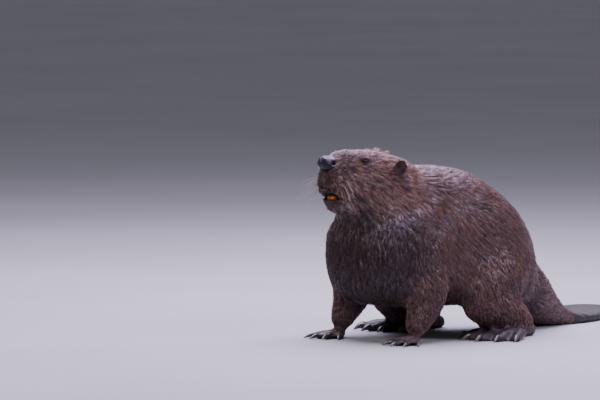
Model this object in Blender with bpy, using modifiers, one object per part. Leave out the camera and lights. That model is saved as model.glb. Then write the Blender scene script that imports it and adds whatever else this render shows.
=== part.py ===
"""A life-size Eurasian beaver, crouched on four feet, its head raised and turned a little to its right.

Metres, +Z up. The animal faces -Y, its left side is +X, and the floor is z = 0.
Its sizes are given as (forward, left, height), and at() turns them into X, Y and Z.

The flesh is modelled whole: lofted forms are fused by a voxel remesh, smoothed and reduced.
It is then parted by regions, so that neighbours keep a gap of GAP between them.
Eyes, ears and incisors are made apart and let into pockets of the flesh, and claws are joined to the feet.
"""

import math
from collections import namedtuple

import bmesh
import bpy
from mathutils import Matrix, Vector

# ---------------------------------------------------------------- driving sizes
GAP = 0.00035  # free space between neighbouring pieces
CORE_VOXEL = 0.005  # grain of the first fusing, of the large forms
CORE_PASSES = 13
FINE_VOXEL = 0.002  # grain of the second, with the muzzle, feet and tail
FINE_PASSES = 4
FLESH_TRIANGLES = 3500
FACE_READINESS = 0.45  # how readily the head gives up triangles, beside 1 for the trunk
FOOT_READINESS = 0.60
FACE_REACH = (0.028, -0.062)  # the face lies before and above this place of the head
FEET_BELOW = 0.030
SOLE_SINK = 0.0015  # how far soles are drawn below the floor before they are cut flat

HEAD_JOINT = (0.068, 0.000, 0.262)  # where the head meets the neck
HEAD_YAW = math.radians(-10)  # turned to the animal's right
HEAD_PITCH = math.radians(0)

# Places on the head are (along, left, up) from the joint.
EYE_PLACE = (0.0895, 0.0320, 0.0385)
EYE_RADIUS = 0.0064
EAR_PLACE = (0.0345, 0.0585, 0.0285)
EAR_HEIGHT = 0.035
EAR_WIDTH = 0.028
EAR_THICKNESS = 0.0056
EAR_DISH = 0.0070  # how far its rim stands before its middle
EAR_TURN = math.radians(42)  # from facing sideways towards the front
EAR_LEAN = math.radians(16)  # outwards
NOSE_PLACE = (0.1447, 0.0, 0.0362)
NOSE_SIZE = (0.0140, 0.0180, 0.0130)
NOSTRIL_PLACE = (0.1432, 0.0130, 0.0335)
NOSTRIL_SIZE = (0.0110, 0.0085, 0.0100)
NOSE_CUT = (0.1542, 0.0, 0.0382)  # middle of the bulge that is parted off as the nose
NOSE_CUT_SIZE = (0.0235, 0.0290, 0.0155)
MOUTH_PLACE = (0.1475, 0.0, -0.0188)
MOUTH_SIZE = (0.0230, 0.0290, 0.0060)
INCISOR_PLACE = (0.1318, 0.0, -0.0255)
INCISOR_SIZE = (0.0056, 0.0080, 0.0075)  # half depth, half width of the pair, half height
INCISOR_GROOVE = 0.0012
INCISOR_GROOVE_SHARE = 0.3  # of the pair's half width
# Upwards along an incisor: (height in half heights, size, how much lower the back of the edge stands).
INCISOR_LEVELS = ((-1.0, 1.0, 0.0), (0.1, 1.0, 0.0), (0.75, 0.92, 0.0), (1.0, 0.72, 0.0015))
INCISOR_SIDES = 24

# How boxy sections are: 2 is an ellipse.
TRUNK_POWER = 2.55
HEAD_POWER = 2.25
TAIL_POWER = 2.4
SOLE_POWER = 2.3
INCISOR_POWER = 3.2

SIDES = {"left": 1, "right": -1}

Station = namedtuple("Station", "forward height half_width rise drop")
Joint = namedtuple("Joint", "forward left height thick wide")

# The trunk, as upright sections from the breast back to the root of the tail.
TRUNK = {
    "breast_tip": Station(0.178, 0.138, 0.048, 0.042, 0.036),
    "breast": Station(0.165, 0.138, 0.078, 0.066, 0.062),
    "shoulder_front": Station(0.131, 0.141, 0.103, 0.082, 0.084),
    "shoulder": Station(0.088, 0.148, 0.115, 0.103, 0.094),
    "withers": Station(0.037, 0.153, 0.119, 0.1325, 0.101),
    "ribs": Station(-0.030, 0.153, 0.122, 0.1345, 0.104),
    "loin": Station(-0.073, 0.149, 0.123, 0.1235, 0.102),
    "hips": Station(-0.118, 0.140, 0.118, 0.106, 0.096),
    "rump": Station(-0.163, 0.120, 0.099, 0.087, 0.082),
    "tail_head": Station(-0.202, 0.094, 0.071, 0.062, 0.060),
    "tail_root": Station(-0.240, 0.064, 0.040, 0.030, 0.030),
}
# Masses on each side of the trunk: (forward, left, height) and half sizes.
TRUNK_MASSES = {
    "shoulder": ((0.106, 0.063, 0.176), (0.058, 0.048, 0.052)),
}

# The neck, from inside the trunk to inside the head.
NECK = (
    Joint(0.010, 0.000, 0.185, 0.095, 0.112),
    Joint(0.045, 0.000, 0.204, 0.083, 0.103),
    Joint(0.075, -0.002, 0.222, 0.071, 0.087),
    Joint(0.105, -0.008, 0.240, 0.055, 0.066),
)

# The head, as sections in its own frame.
HEAD = {
    "nose_tip": Station(0.1535, 0.022, 0.012, 0.014, 0.018),
    "lip_front": Station(0.1482, 0.012, 0.023, 0.031, 0.031),
    "lips": Station(0.1405, 0.006, 0.0300, 0.042, 0.039),
    "whisker_pads": Station(0.1290, 0.002, 0.0350, 0.0525, 0.049),
    "bridge": Station(0.1130, 0.000, 0.0385, 0.0585, 0.055),
    "eyes": Station(0.0900, -0.004, 0.0450, 0.061, 0.054),
    "cheeks": Station(0.0600, -0.008, 0.0570, 0.063, 0.050),
    "ears": Station(0.0280, -0.008, 0.0630, 0.0570, 0.045),
    "nape": Station(-0.0050, -0.010, 0.0630, 0.0465, 0.042),
    "neck_base": Station(-0.0350, -0.020, 0.0600, 0.040, 0.040),
}
# Masses on each side of the head: (along, left, up) and half sizes.
HEAD_MASSES = {
    "whisker_pad": ((0.1340, 0.0175, 0.0000), (0.0185, 0.0165, 0.0230)),
    "cheek": ((0.0600, 0.0340, -0.0200), (0.0480, 0.0250, 0.0340)),
    "brow": ((0.0820, 0.0250, 0.0400), (0.0280, 0.0130, 0.0130)),
    "lower_lip": ((0.1255, 0.0080, -0.0365), (0.0175, 0.0130, 0.0120)),
}

# Limbs of the left side. thick is the half size in the plane of the limb, wide the one across it.
FORELEG = (
    Joint(0.098, 0.064, 0.150, 0.054, 0.048),
    Joint(0.088, 0.082, 0.105, 0.048, 0.039),
    Joint(0.090, 0.087, 0.068, 0.035, 0.031),
    Joint(0.106, 0.087, 0.040, 0.024, 0.023),
    Joint(0.122, 0.086, 0.020, 0.016, 0.018),
)
HINDLEG = (
    Joint(-0.105, 0.060, 0.130, 0.078, 0.060),
    Joint(-0.068, 0.088, 0.105, 0.068, 0.050),
    Joint(-0.030, 0.102, 0.076, 0.052, 0.042),
    Joint(-0.062, 0.110, 0.048, 0.038, 0.034),
    Joint(-0.105, 0.108, 0.031, 0.027, 0.026),
    Joint(-0.132, 0.105, 0.020, 0.019, 0.020),
)


# heel: (forward, left). turn: outwards. toes: (angle, length) past the knuckles.
# claw: (length, radius). web: its thickness. top: where the leg begins.
Foot = namedtuple("Foot", "name heel turn sole_length sole_width knuckle toes toe_radius claw web top")

FOREFOOT = Foot(
    name="forefoot",
    heel=(0.112, 0.086),
    turn=math.radians(6),
    sole_length=0.030,
    sole_width=0.017,
    knuckle=0.026,
    toes=((-44, 0.018), (-20, 0.027), (0, 0.031), (20, 0.028), (42, 0.019)),
    toe_radius=0.0062,
    claw=(0.015, 0.0026),
    web=None,
    top=0.026,
)
HINDFOOT = Foot(
    name="hindfoot",
    heel=(-0.140, 0.104),
    turn=math.radians(9),
    sole_length=0.082,
    sole_width=0.023,
    knuckle=0.076,
    toes=((-24, 0.052), (-11, 0.066), (1, 0.072), (13, 0.068), (25, 0.056)),
    toe_radius=0.0088,
    claw=(0.015, 0.0036),
    web=0.0042,
    top=0.024,
)
WEB_SCALLOP = 0.010  # how far the web's edge falls back between two toes
WEB_STEPS = 8  # from toe to toe
WEB_ROOT = 0.5  # share of the way from heel to knuckles where the web begins
# Along a sole: share of its length, height and half thickness in toe radii, share of its width.
SOLE = (
    (-0.08, 1.10, 1.20, 0.55),
    (0.35, 1.15, 1.30, 0.85),
    (0.75, 1.05, 1.20, 1.00),
    (1.00, 0.85, 0.95, 0.85),
)
# Along a toe: share of its length past the knuckle, then height and half sizes in toe radii.
TOE = (
    (-0.25, 1.00, 0.95, 0.95),
    (0.35, 1.15, 0.95, 0.95),
    (0.75, 0.80, 0.90, 0.95),
    (1.00, 0.55, 0.70, 0.75),
)
# Along a claw: share of its length past the toe, height in toe radii, half sizes in claw radii.
CLAW = (
    (-0.35, 0.750, 1.00, 1.00),
    (0.20, 0.710, 0.85, 0.80),
    (0.65, 0.410, 0.55, 0.50),
    (0.95, 0.165, 0.20, 0.20),
)

# The tail, from inside the rump to the tip. thick is half its depth, wide half its breadth.
TAIL = (
    Joint(-0.175, 0.000, 0.102, 0.050, 0.060),
    Joint(-0.225, 0.000, 0.066, 0.048, 0.058),
    Joint(-0.265, -0.004, 0.040, 0.036, 0.048),
    Joint(-0.300, -0.011, 0.023, 0.024, 0.042),
    Joint(-0.328, -0.019, 0.013, 0.0165, 0.045),
    Joint(-0.365, -0.032, 0.009, 0.0130, 0.057),
    Joint(-0.415, -0.054, 0.0075, 0.0115, 0.0640),
    Joint(-0.470, -0.082, 0.0065, 0.0100, 0.0640),
    Joint(-0.520, -0.112, 0.0055, 0.0085, 0.0560),
    Joint(-0.555, -0.134, 0.0045, 0.0070, 0.0400),
    Joint(-0.573, -0.146, 0.0035, 0.0055, 0.0240),
    Joint(-0.580, -0.151, 0.0030, 0.0050, 0.0100),
)

# What is parted off as the head, as sections of its frame.
HEAD_REGION = {
    "before_nose": Station(0.190, 0.000, 0.050, 0.050, 0.050),
    "muzzle": Station(0.140, 0.000, 0.055, 0.070, 0.056),
    "eyes": Station(0.090, 0.000, 0.072, 0.080, 0.064),
    "cheeks": Station(0.060, 0.000, 0.078, 0.080, 0.065),
    "ears": Station(0.028, 0.000, 0.084, 0.075, 0.058),
    "nape": Station(-0.005, 0.000, 0.090, 0.070, 0.046),
}
HEAD_REGION_POWER = 3.6
# Outlines in side view. Below and before this line of the head lies the lower jaw.
JAW_CUT = (
    (0.200, -0.0085),
    (0.119, -0.0250),
    (0.100, -0.0300),
    (0.082, -0.0400),
    (0.072, -0.0560),
    (0.068, -0.0900),
)
# Above and before this line of the body lies the neck.
NECK_CUT = ((0.026, 0.360), (0.030, 0.285), (0.068, 0.232), (0.120, 0.212), (0.250, 0.205))
CUT_CORNER = {"jaw": (0.200, -0.090), "neck": (0.250, 0.360)}  # which closes the outline
CUT_SLOPE = 0.7  # share of a gap by which a slanting outline moves along either axis
CUT_HALF_WIDTH = 0.2
TRUNK_END = (-0.215, 0.0)  # where the root of the tail begins
SCALES_START = (-0.322, -0.017)  # where fur gives way to scales
SCALES_SLANT = math.radians(22)

# Middle and half sizes of what is parted off as a leg.
FORELEG_REGION = ((0.092, 0.092, 0.068), (0.058, 0.048, 0.078))
HINDLEG_REGION = ((-0.070, 0.100, 0.068), (0.107, 0.052, 0.105))
FOOT_CLEARANCE = (0.035, 0.195, 0.085)  # behind the heel, before it and beside it
TAIL_CLEARANCE = (0.5, 0.3, 0.3)  # behind the cut, to each side and up

# ---------------------------------------------------------------- finishes
FUR = ("fur", (0.105, 0.062, 0.044, 1), 0.75)
WET_SKIN = ("wet_skin", (0.030, 0.024, 0.028, 1), 0.30)
SCALY_SKIN = ("scaly_skin", (0.050, 0.042, 0.040, 1), 0.55)
FOOT_SKIN = ("foot_skin", (0.045, 0.036, 0.034, 1), 0.55)
ENAMEL = ("enamel", (0.700, 0.220, 0.020, 1), 0.30)
EYE = ("eye", (0.006, 0.005, 0.005, 1), 0.05)


# ---------------------------------------------------------------- frames
# Carries (forward, left, up) of any frame here to Blender's X, Y and Z.
BODY_AXES = Matrix(((0, 1, 0, 0), (-1, 0, 0, 0), (0, 0, 1, 0), (0, 0, 0, 1)))


def at(forward, left, height):
    """A point of the body as world coordinates."""
    return BODY_AXES @ Vector((forward, left, height))


def head_matrix():
    """Carries (along, left, up) of the head into the world."""
    turn = Matrix.Rotation(HEAD_YAW, 4, "Z") @ Matrix.Rotation(-HEAD_PITCH, 4, "X")
    return Matrix.Translation(at(*HEAD_JOINT)) @ turn @ BODY_AXES


def foot_matrix(foot, mirror):
    """Carries (along, left, up) of a foot into the world."""
    turn = Matrix.Rotation(foot.turn * mirror, 4, "Z")
    return Matrix.Translation(at(foot.heel[0], foot.heel[1] * mirror, 0)) @ turn @ BODY_AXES


# ---------------------------------------------------------------- lofts
def spline(rows, per_span):
    """Rows of numbers resampled along a Catmull-Rom curve."""
    rows = [Vector(row) for row in rows]
    ends = [2 * rows[0] - rows[1]] + rows + [2 * rows[-1] - rows[-2]]
    out = []
    for before, start, end, after in zip(ends, ends[1:], ends[2:], ends[3:]):
        for step in range(per_span):
            t = step / per_span
            linear = (end - before) * t
            square = (2 * before - 5 * start + 4 * end - after) * t**2
            cube = (3 * start - before - 3 * end + after) * t**3
            out.append(0.5 * (2 * start + linear + square + cube))
    return out + [rows[-1]]


def ring(centre, side, up, half_width, rise, drop, power, sides):
    """A closed outline round centre, boxier the more power is over 2."""
    points = []
    for i in range(sides):
        angle = 2 * math.pi * i / sides
        c, s = math.cos(angle), math.sin(angle)
        across = math.copysign(abs(c) ** (2 / power), c) * half_width
        upward = math.copysign(abs(s) ** (2 / power), s) * (rise if s > 0 else drop)
        points.append(centre + side * across + up * upward)
    return points


def facing_out(bm):
    """Triangulates the form, always in the same way, and turns its faces outwards."""
    bmesh.ops.triangulate(bm, faces=bm.faces, quad_method="FIXED", ngon_method="EAR_CLIP")
    bmesh.ops.recalc_face_normals(bm, faces=bm.faces)
    if bm.calc_volume(signed=True) < 0:
        bmesh.ops.reverse_faces(bm, faces=bm.faces)
    return bm


def skinned(rings):
    """A closed bmesh through rings of equally many points."""
    bm = bmesh.new()
    rows = [[bm.verts.new(point) for point in points] for points in rings]
    count = len(rows[0])
    for first, second in zip(rows, rows[1:]):
        for i in range(count):
            j = (i + 1) % count
            bm.faces.new((first[i], first[j], second[j], second[i]))
    bm.faces.new(rows[0])
    bm.faces.new(rows[-1])
    return facing_out(bm)


def loft_stations(stations, matrix, power, sides=32, per_span=5):
    """Upright sections of a frame whose axes are forward, left and up."""
    rings = []
    side, up = Vector((0, 1, 0)), Vector((0, 0, 1))
    for forward, height, half_width, rise, drop in spline(list(stations.values()), per_span):
        rings.append(ring(Vector((forward, 0, height)), side, up, half_width, rise, drop, power, sides))
    bm = skinned(rings)
    bm.transform(matrix)
    return bm


def loft_joints(joints, matrix, mirror=1, power=2.0, sides=20, per_span=4):
    """A tube through joints of a frame whose axes are forward, left and up."""
    rows = spline(joints, per_span)
    places = [Vector((row[0], row[1] * mirror, row[2])) for row in rows]
    rings = []
    for i, row in enumerate(rows):
        along = (places[min(i + 1, len(rows) - 1)] - places[max(i - 1, 0)]).normalized()
        side = Vector((0, 1, 0))
        side = (side - along * side.dot(along)).normalized()
        rings.append(ring(places[i], side, along.cross(side), row[4], row[3], row[3], power, sides))
    bm = skinned(rings)
    bm.transform(matrix)
    return bm


def ellipsoid(centre, radii, matrix=Matrix(), grow=0.0, segments=24):
    bm = bmesh.new()
    bmesh.ops.create_uvsphere(bm, u_segments=segments, v_segments=segments // 2, radius=1)
    scale = Matrix.Diagonal([radius + grow for radius in radii] + [1])
    bm.transform(matrix @ Matrix.Translation(centre) @ scale)
    return facing_out(bm)


def block(low, high, matrix=Matrix(), grow=0.0):
    """A box between two corners of the matrix's frame."""
    low = Vector(low) - Vector((grow, grow, grow))
    high = Vector(high) + Vector((grow, grow, grow))
    bm = bmesh.new()
    bmesh.ops.create_cube(bm, size=1)
    bm.transform(matrix @ Matrix.Translation((low + high) / 2) @ Matrix.Diagonal([*(high - low), 1]))
    return facing_out(bm)


def prism(outline, half_width, matrix):
    """An outline of (along, up) points, made solid from side to side."""
    bm = bmesh.new()
    sides = [[bm.verts.new((a, side, u)) for a, u in outline] for side in (-half_width, half_width)]
    bm.faces.new(sides[0])
    bm.faces.new(sides[1])
    count = len(outline)
    for i in range(count):
        j = (i + 1) % count
        bm.faces.new((sides[0][i], sides[0][j], sides[1][j], sides[1][i]))
    bm.transform(matrix)
    return facing_out(bm)


# ---------------------------------------------------------------- objects
class Workshop:
    """Holds the two collections and the steps that turn bmeshes into objects."""

    def __init__(self):
        self.parts = bpy.data.collections.new("beaver")
        self.helpers = bpy.data.collections.new("helpers")
        self.materials = {}
        for collection in (self.parts, self.helpers):
            bpy.context.scene.collection.children.link(collection)

    def helper(self, bm, name):
        """A hidden object, for fusing or cutting."""
        obj = self.link(bm, name, self.helpers)
        obj.hide_render = True
        obj.display_type = "WIRE"
        return obj

    def piece(self, bm, name, finish):
        obj = self.link(bm, name, self.parts)
        self.dress(obj, finish)
        return obj

    def link(self, bm, name, collection):
        mesh = bpy.data.meshes.new(name)
        bm.to_mesh(mesh)
        bm.free()
        obj = bpy.data.objects.new(name, mesh)
        collection.objects.link(obj)
        return obj

    def adopt(self, obj, finish):
        """Makes a helper a piece."""
        self.helpers.objects.unlink(obj)
        self.parts.objects.link(obj)
        obj.hide_render = False
        obj.display_type = "TEXTURED"
        self.dress(obj, finish)

    def dress(self, obj, finish):
        name, colour, roughness = finish
        if name not in self.materials:
            material = bpy.data.materials.new(name)
            material.use_nodes = True
            shader = material.node_tree.nodes["Principled BSDF"]
            shader.inputs["Base Color"].default_value = colour
            shader.inputs["Roughness"].default_value = roughness
            self.materials[name] = material
        obj.data.materials.clear()
        obj.data.materials.append(self.materials[name])
        obj.data.shade_smooth()

    def settle(self, obj):
        """Makes the modifiers' result the object's own mesh."""
        graph = bpy.context.evaluated_depsgraph_get()
        graph.update()
        mesh = bpy.data.meshes.new_from_object(obj.evaluated_get(graph))
        obj.modifiers.clear()
        obj.data = mesh

    def boolean(self, obj, bm, operation):
        cutter = self.helper(bm, f"{obj.name}_{operation.lower()}")
        modifier = obj.modifiers.new(operation.lower(), "BOOLEAN")
        modifier.operation = operation
        modifier.object = cutter
        self.settle(obj)
        bpy.data.objects.remove(cutter)

    def drop_crumbs(self, obj):
        """Keeps the largest of the bodies that a cut has left, as the others are slivers."""
        bm = bmesh.new()
        bm.from_mesh(obj.data)
        waiting = set(bm.faces)
        bodies = []
        while waiting:
            body = {waiting.pop()}
            edge_of_body = list(body)
            while edge_of_body:
                for edge in edge_of_body.pop().edges:
                    new = waiting.intersection(edge.link_faces)
                    waiting -= new
                    body |= new
                    edge_of_body += new
            bodies.append(body)
        largest = max(bodies, key=len)
        crumbs = [face for body in bodies if body is not largest for face in body]
        bmesh.ops.delete(bm, geom=crumbs, context="FACES")
        bm.to_mesh(obj.data)
        bm.free()

    def fused(self, forms, voxel, passes, name):
        """One closed surface round all the forms."""
        whole = bmesh.new()
        for form in forms:
            mesh = bpy.data.meshes.new("form")
            form.to_mesh(mesh)
            form.free()
            whole.from_mesh(mesh)
            bpy.data.meshes.remove(mesh)
        obj = self.helper(whole, name)
        remesh = obj.modifiers.new("fuse", "REMESH")
        remesh.mode = "VOXEL"
        remesh.voxel_size = voxel
        smooth = obj.modifiers.new("blend", "SMOOTH")
        smooth.factor = 0.5
        smooth.iterations = passes
        self.settle(obj)
        return obj

    def reduce(self, obj, triangles, readiness_at):
        """Keeps more triangles where readiness_at(point) is under 1."""
        group = obj.vertex_groups.new(name="readiness")
        for vertex in obj.data.vertices:
            group.add([vertex.index], readiness_at(vertex.co), "REPLACE")
        obj.data.calc_loop_triangles()
        decimate = obj.modifiers.new("reduce", "DECIMATE")
        decimate.ratio = triangles / len(obj.data.loop_triangles)
        decimate.vertex_group = group.name
        self.settle(obj)
        obj.vertex_groups.clear()

    def part_off(self, rest, name, region, finish):
        """Moves what lies in a region from rest to an object of its own.

        region(grow) makes the region's bmesh, made larger by grow.
        """
        obj = bpy.data.objects.new(name, rest.data.copy())
        self.parts.objects.link(obj)
        self.boolean(obj, region(0.0), "INTERSECT")
        self.boolean(rest, region(GAP), "DIFFERENCE")
        self.drop_crumbs(obj)
        self.drop_crumbs(rest)
        self.dress(obj, finish)
        return obj


# ---------------------------------------------------------------- forms of the flesh
def core_forms():
    """The large forms, which flow into each other."""
    forms = [
        loft_stations(TRUNK, BODY_AXES, TRUNK_POWER),
        loft_joints(NECK, BODY_AXES),
        loft_stations(HEAD, head_matrix(), HEAD_POWER),
    ]
    for mirror in (1, -1):
        forms.append(loft_joints(FORELEG, BODY_AXES, mirror))
        forms.append(loft_joints(HINDLEG, BODY_AXES, mirror))
        for (along, left, up), radii in HEAD_MASSES.values():
            forms.append(ellipsoid((along, left * mirror, up), radii, head_matrix()))
        for (forward, left, height), radii in TRUNK_MASSES.values():
            forms.append(ellipsoid((forward, left * mirror, height), radii, BODY_AXES))
    forms.append(loft_joints(TAIL[:5], BODY_AXES))
    return forms


def foot_forms(foot, mirror):
    """Sole, toes and web of one foot."""
    matrix = foot_matrix(foot, mirror)
    radius = foot.toe_radius
    sole = [
        Joint(foot.sole_length * share, 0, radius * height, radius * thick, foot.sole_width * wide)
        for share, height, thick, wide in SOLE
    ]
    forms = [loft_joints(sole, matrix, power=SOLE_POWER)]
    for angle, length in foot.toes:
        spread = Matrix.Rotation(math.radians(angle) * mirror, 4, "Z")
        toe = [
            Joint(foot.knuckle + length * share, 0, radius * height, radius * thick, radius * wide)
            for share, height, thick, wide in TOE
        ]
        forms.append(loft_joints(toe, matrix @ spread, sides=12))
    if foot.web:
        forms.append(web_form(foot, matrix, mirror))
    return forms


def web_form(foot, matrix, mirror):
    """A fan between the toes, scalloped between their tips."""
    rim = []
    for (angle, length), (next_angle, next_length) in zip(foot.toes, foot.toes[1:]):
        for step in range(WEB_STEPS):
            t = step / WEB_STEPS
            straight = foot.knuckle + length + (next_length - length) * t
            reach = straight - WEB_SCALLOP * math.sin(math.pi * t)
            turn = math.radians(angle + (next_angle - angle) * t) * mirror
            rim.append((reach * math.cos(turn), reach * math.sin(turn)))
    outline = [(foot.knuckle * WEB_ROOT, 0)] + rim
    bm = bmesh.new()
    low = [bm.verts.new((along, left, -SOLE_SINK)) for along, left in outline]
    high = [bm.verts.new((along, left, foot.web)) for along, left in outline]
    bm.faces.new(low)
    bm.faces.new(high)
    for i in range(len(outline)):
        j = (i + 1) % len(outline)
        bm.faces.new((low[i], low[j], high[j], high[i]))
    bm.transform(matrix)
    return facing_out(bm)


def claw_forms(foot, mirror):
    """One curved, pointed claw to each toe."""
    matrix = foot_matrix(foot, mirror)
    claw_length, radius = foot.claw
    forms = []
    for angle, length in foot.toes:
        spread = Matrix.Rotation(math.radians(angle) * mirror, 4, "Z")
        tip = foot.knuckle + length
        claw = [
            Joint(tip + claw_length * share, 0, foot.toe_radius * height, radius * thick, radius * wide)
            for share, height, thick, wide in CLAW
        ]
        forms.append(loft_joints(claw, matrix @ spread, sides=5, per_span=1))
    return forms


# ---------------------------------------------------------------- pieces let into the flesh
def swollen(bm, grow):
    """Moves every vertex outwards by grow."""
    bm.normal_update()
    for vertex, normal in [(vertex, vertex.normal.copy()) for vertex in bm.verts]:
        vertex.co += normal * grow
    return bm


def eye_form(mirror, grow=0.0):
    along, left, up = EYE_PLACE
    return ellipsoid((along, left * mirror, up), [EYE_RADIUS] * 3, head_matrix(), grow, segments=12)


def ear_form(mirror, grow=0.0):
    """A rounded, dished leaf. Its hollow faces forwards and outwards."""
    bm = ellipsoid((0, 0, 0), (EAR_THICKNESS / 2, EAR_WIDTH / 2, EAR_HEIGHT / 2), segments=12)
    for vertex in bm.verts:
        rim = math.hypot(vertex.co.y / (EAR_WIDTH / 2), vertex.co.z / (EAR_HEIGHT / 2))
        vertex.co.x += EAR_DISH * rim**2
    along, left, up = EAR_PLACE
    turn = Matrix.Rotation((math.pi / 2 - EAR_TURN) * mirror, 4, "Z")
    lean = Matrix.Rotation(-EAR_LEAN * mirror, 4, "X")
    bm.transform(head_matrix() @ Matrix.Translation((along, left * mirror, up)) @ lean @ turn)
    return swollen(facing_out(bm), grow)


def incisor_form(grow=0.0):
    """The pair of lower incisors, with a groove between them and chisel tips."""
    half_depth, half_width, half_height = INCISOR_SIZE
    side, front = Vector((0, 1, 0)), Vector((1, 0, 0))
    sizes = (half_width, half_depth, half_depth)
    outline = ring(Vector(), side, front, *sizes, INCISOR_POWER, INCISOR_SIDES)
    groove_width = INCISOR_GROOVE_SHARE * half_width
    rings = []
    for level, scale, chisel in INCISOR_LEVELS:
        points = []
        for point in outline:
            groove = INCISOR_GROOVE * max(0, 1 - abs(point.y) / groove_width) if point.x > 0 else 0
            height = level * half_height + chisel * point.x / half_depth
            points.append(Vector(((point.x - groove) * scale, point.y * (1 + scale) / 2, height)))
        rings.append(points)
    bm = skinned(rings)
    bm.transform(head_matrix() @ Matrix.Translation(INCISOR_PLACE))
    return swollen(facing_out(bm), grow)


# ---------------------------------------------------------------- regions
def head_region(grow):
    stations = {}
    for name, (forward, height, half_width, rise, drop) in HEAD_REGION.items():
        stations[name] = Station(forward, height, half_width + grow, rise + grow, drop + grow)
    stations["nape"] = stations["nape"]._replace(forward=HEAD_REGION["nape"].forward - grow)
    return loft_stations(stations, head_matrix(), HEAD_REGION_POWER, sides=16, per_span=1)


def nose_region(grow):
    return ellipsoid(NOSE_CUT, NOSE_CUT_SIZE, head_matrix(), grow, segments=14)


def jaw_region(grow):
    shift = grow * CUT_SLOPE
    line = [(along - shift, up + shift) for along, up in JAW_CUT]
    return prism(line + [CUT_CORNER["jaw"]], CUT_HALF_WIDTH, head_matrix())


def neck_region(grow):
    shift = grow * CUT_SLOPE
    line = [(forward - shift, height - shift) for forward, height in NECK_CUT]
    return prism(line + [CUT_CORNER["neck"]], CUT_HALF_WIDTH, BODY_AXES)


def leg_region(region, mirror):
    (forward, left, height), radii = region
    return lambda grow: ellipsoid((forward, left * mirror, height), radii, BODY_AXES, grow, segments=12)


def foot_region(foot, mirror):
    """Everything of one foot, up to the wrist or ankle."""
    forward, left = foot.heel
    behind, before, beside = FOOT_CLEARANCE
    low = (forward - behind, left * mirror - beside, -beside)
    high = (forward + before, left * mirror + beside, foot.top)
    return lambda grow: block(low, high, BODY_AXES, grow)


def tail_region(start, slant):
    """Everything behind an upright plane through start."""
    plane = BODY_AXES @ Matrix.Translation((*start, 0)) @ Matrix.Rotation(slant, 4, "Z")
    behind, beside, above = TAIL_CLEARANCE
    return lambda grow: block((-behind, -beside, -above), (0, beside, above), plane, grow)


# ---------------------------------------------------------------- the animal
def readiness(point):
    """How readily the flesh gives up triangles at a place."""
    along, _, up = head_matrix().inverted() @ point
    if along > FACE_REACH[0] and up > FACE_REACH[1]:
        return FACE_READINESS
    return FOOT_READINESS if point.z < FEET_BELOW else 1


def make_flesh(shop):
    core = shop.fused(core_forms(), CORE_VOXEL, CORE_PASSES, "core")
    core_form = bmesh.new()
    core_form.from_mesh(core.data)
    bpy.data.objects.remove(core)
    details = [core_form, loft_joints(TAIL, BODY_AXES, power=TAIL_POWER, sides=28)]
    details.append(ellipsoid(NOSE_PLACE, NOSE_SIZE, head_matrix()))
    along, left, up = NOSTRIL_PLACE
    for mirror in SIDES.values():
        details.append(ellipsoid((along, left * mirror, up), NOSTRIL_SIZE, head_matrix()))
        details += foot_forms(FOREFOOT, mirror) + foot_forms(HINDFOOT, mirror)
    flesh = shop.fused(details, FINE_VOXEL, FINE_PASSES, "flesh")
    shop.reduce(flesh, FLESH_TRIANGLES, readiness)
    shop.boolean(flesh, block((-1, -1, -0.1), (1, 1, 0)), "DIFFERENCE")
    return flesh


def make_head(shop, flesh):
    shop.boolean(flesh, ellipsoid(MOUTH_PLACE, MOUTH_SIZE, head_matrix()), "DIFFERENCE")
    shop.piece(incisor_form(), "incisors", ENAMEL)
    shop.boolean(flesh, incisor_form(GAP), "DIFFERENCE")
    for side, mirror in SIDES.items():
        shop.piece(eye_form(mirror), f"eye_{side}", EYE)
        shop.boolean(flesh, eye_form(mirror, GAP), "DIFFERENCE")
        shop.piece(ear_form(mirror), f"ear_{side}", FUR)
        shop.boolean(flesh, ear_form(mirror, GAP), "DIFFERENCE")
    shop.part_off(flesh, "nose", nose_region, WET_SKIN)
    head = shop.part_off(flesh, "head", head_region, FUR)
    shop.part_off(head, "lower_jaw", jaw_region, FUR)


def make_legs(shop, flesh):
    legs = ((FOREFOOT, "foreleg", FORELEG_REGION), (HINDFOOT, "hindleg", HINDLEG_REGION))
    for side, mirror in SIDES.items():
        for foot, leg, region in legs:
            sole = shop.part_off(flesh, f"{foot.name}_{side}", foot_region(foot, mirror), FOOT_SKIN)
            for claw in claw_forms(foot, mirror):
                shop.boolean(sole, claw, "UNION")
            shop.part_off(flesh, f"{leg}_{side}", leg_region(region, mirror), FUR)


def make_tail(shop, flesh):
    shop.part_off(flesh, "tail", tail_region(SCALES_START, SCALES_SLANT), SCALY_SKIN)
    shop.part_off(flesh, "tail_root", tail_region(TRUNK_END, 0), FUR)


def stand_on_origin(objects):
    """Moves the whole animal so that the origin lies on the floor below the middle of its box."""
    points = [vertex.co for obj in objects for vertex in obj.data.vertices]
    low = Vector([min(point[axis] for point in points) for axis in range(3)])
    high = Vector([max(point[axis] for point in points) for axis in range(3)])
    middle = (low + high) / 2
    for obj in objects:
        obj.data.transform(Matrix.Translation((-middle.x, -middle.y, -low.z)))


def main():
    for obj in list(bpy.data.objects):
        bpy.data.objects.remove(obj)
    shop = Workshop()
    flesh = make_flesh(shop)
    make_head(shop, flesh)
    shop.part_off(flesh, "neck", neck_region, FUR)
    make_legs(shop, flesh)
    make_tail(shop, flesh)
    flesh.name = "trunk"
    shop.adopt(flesh, FUR)
    stand_on_origin(list(shop.parts.objects))


main()
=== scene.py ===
"""The looks of the beaver: one skin, a coat of locks, tail scales, claws, whiskers, eyes and teeth.

Metres, +Z up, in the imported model's frame: the animal faces -Y and its left side is +X.
Places on the head are (along, left, up) from its joint, and places on the body are
(forward, left, height), as in the model's own source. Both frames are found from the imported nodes.
"""

import math
from collections import namedtuple
from itertools import product

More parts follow.
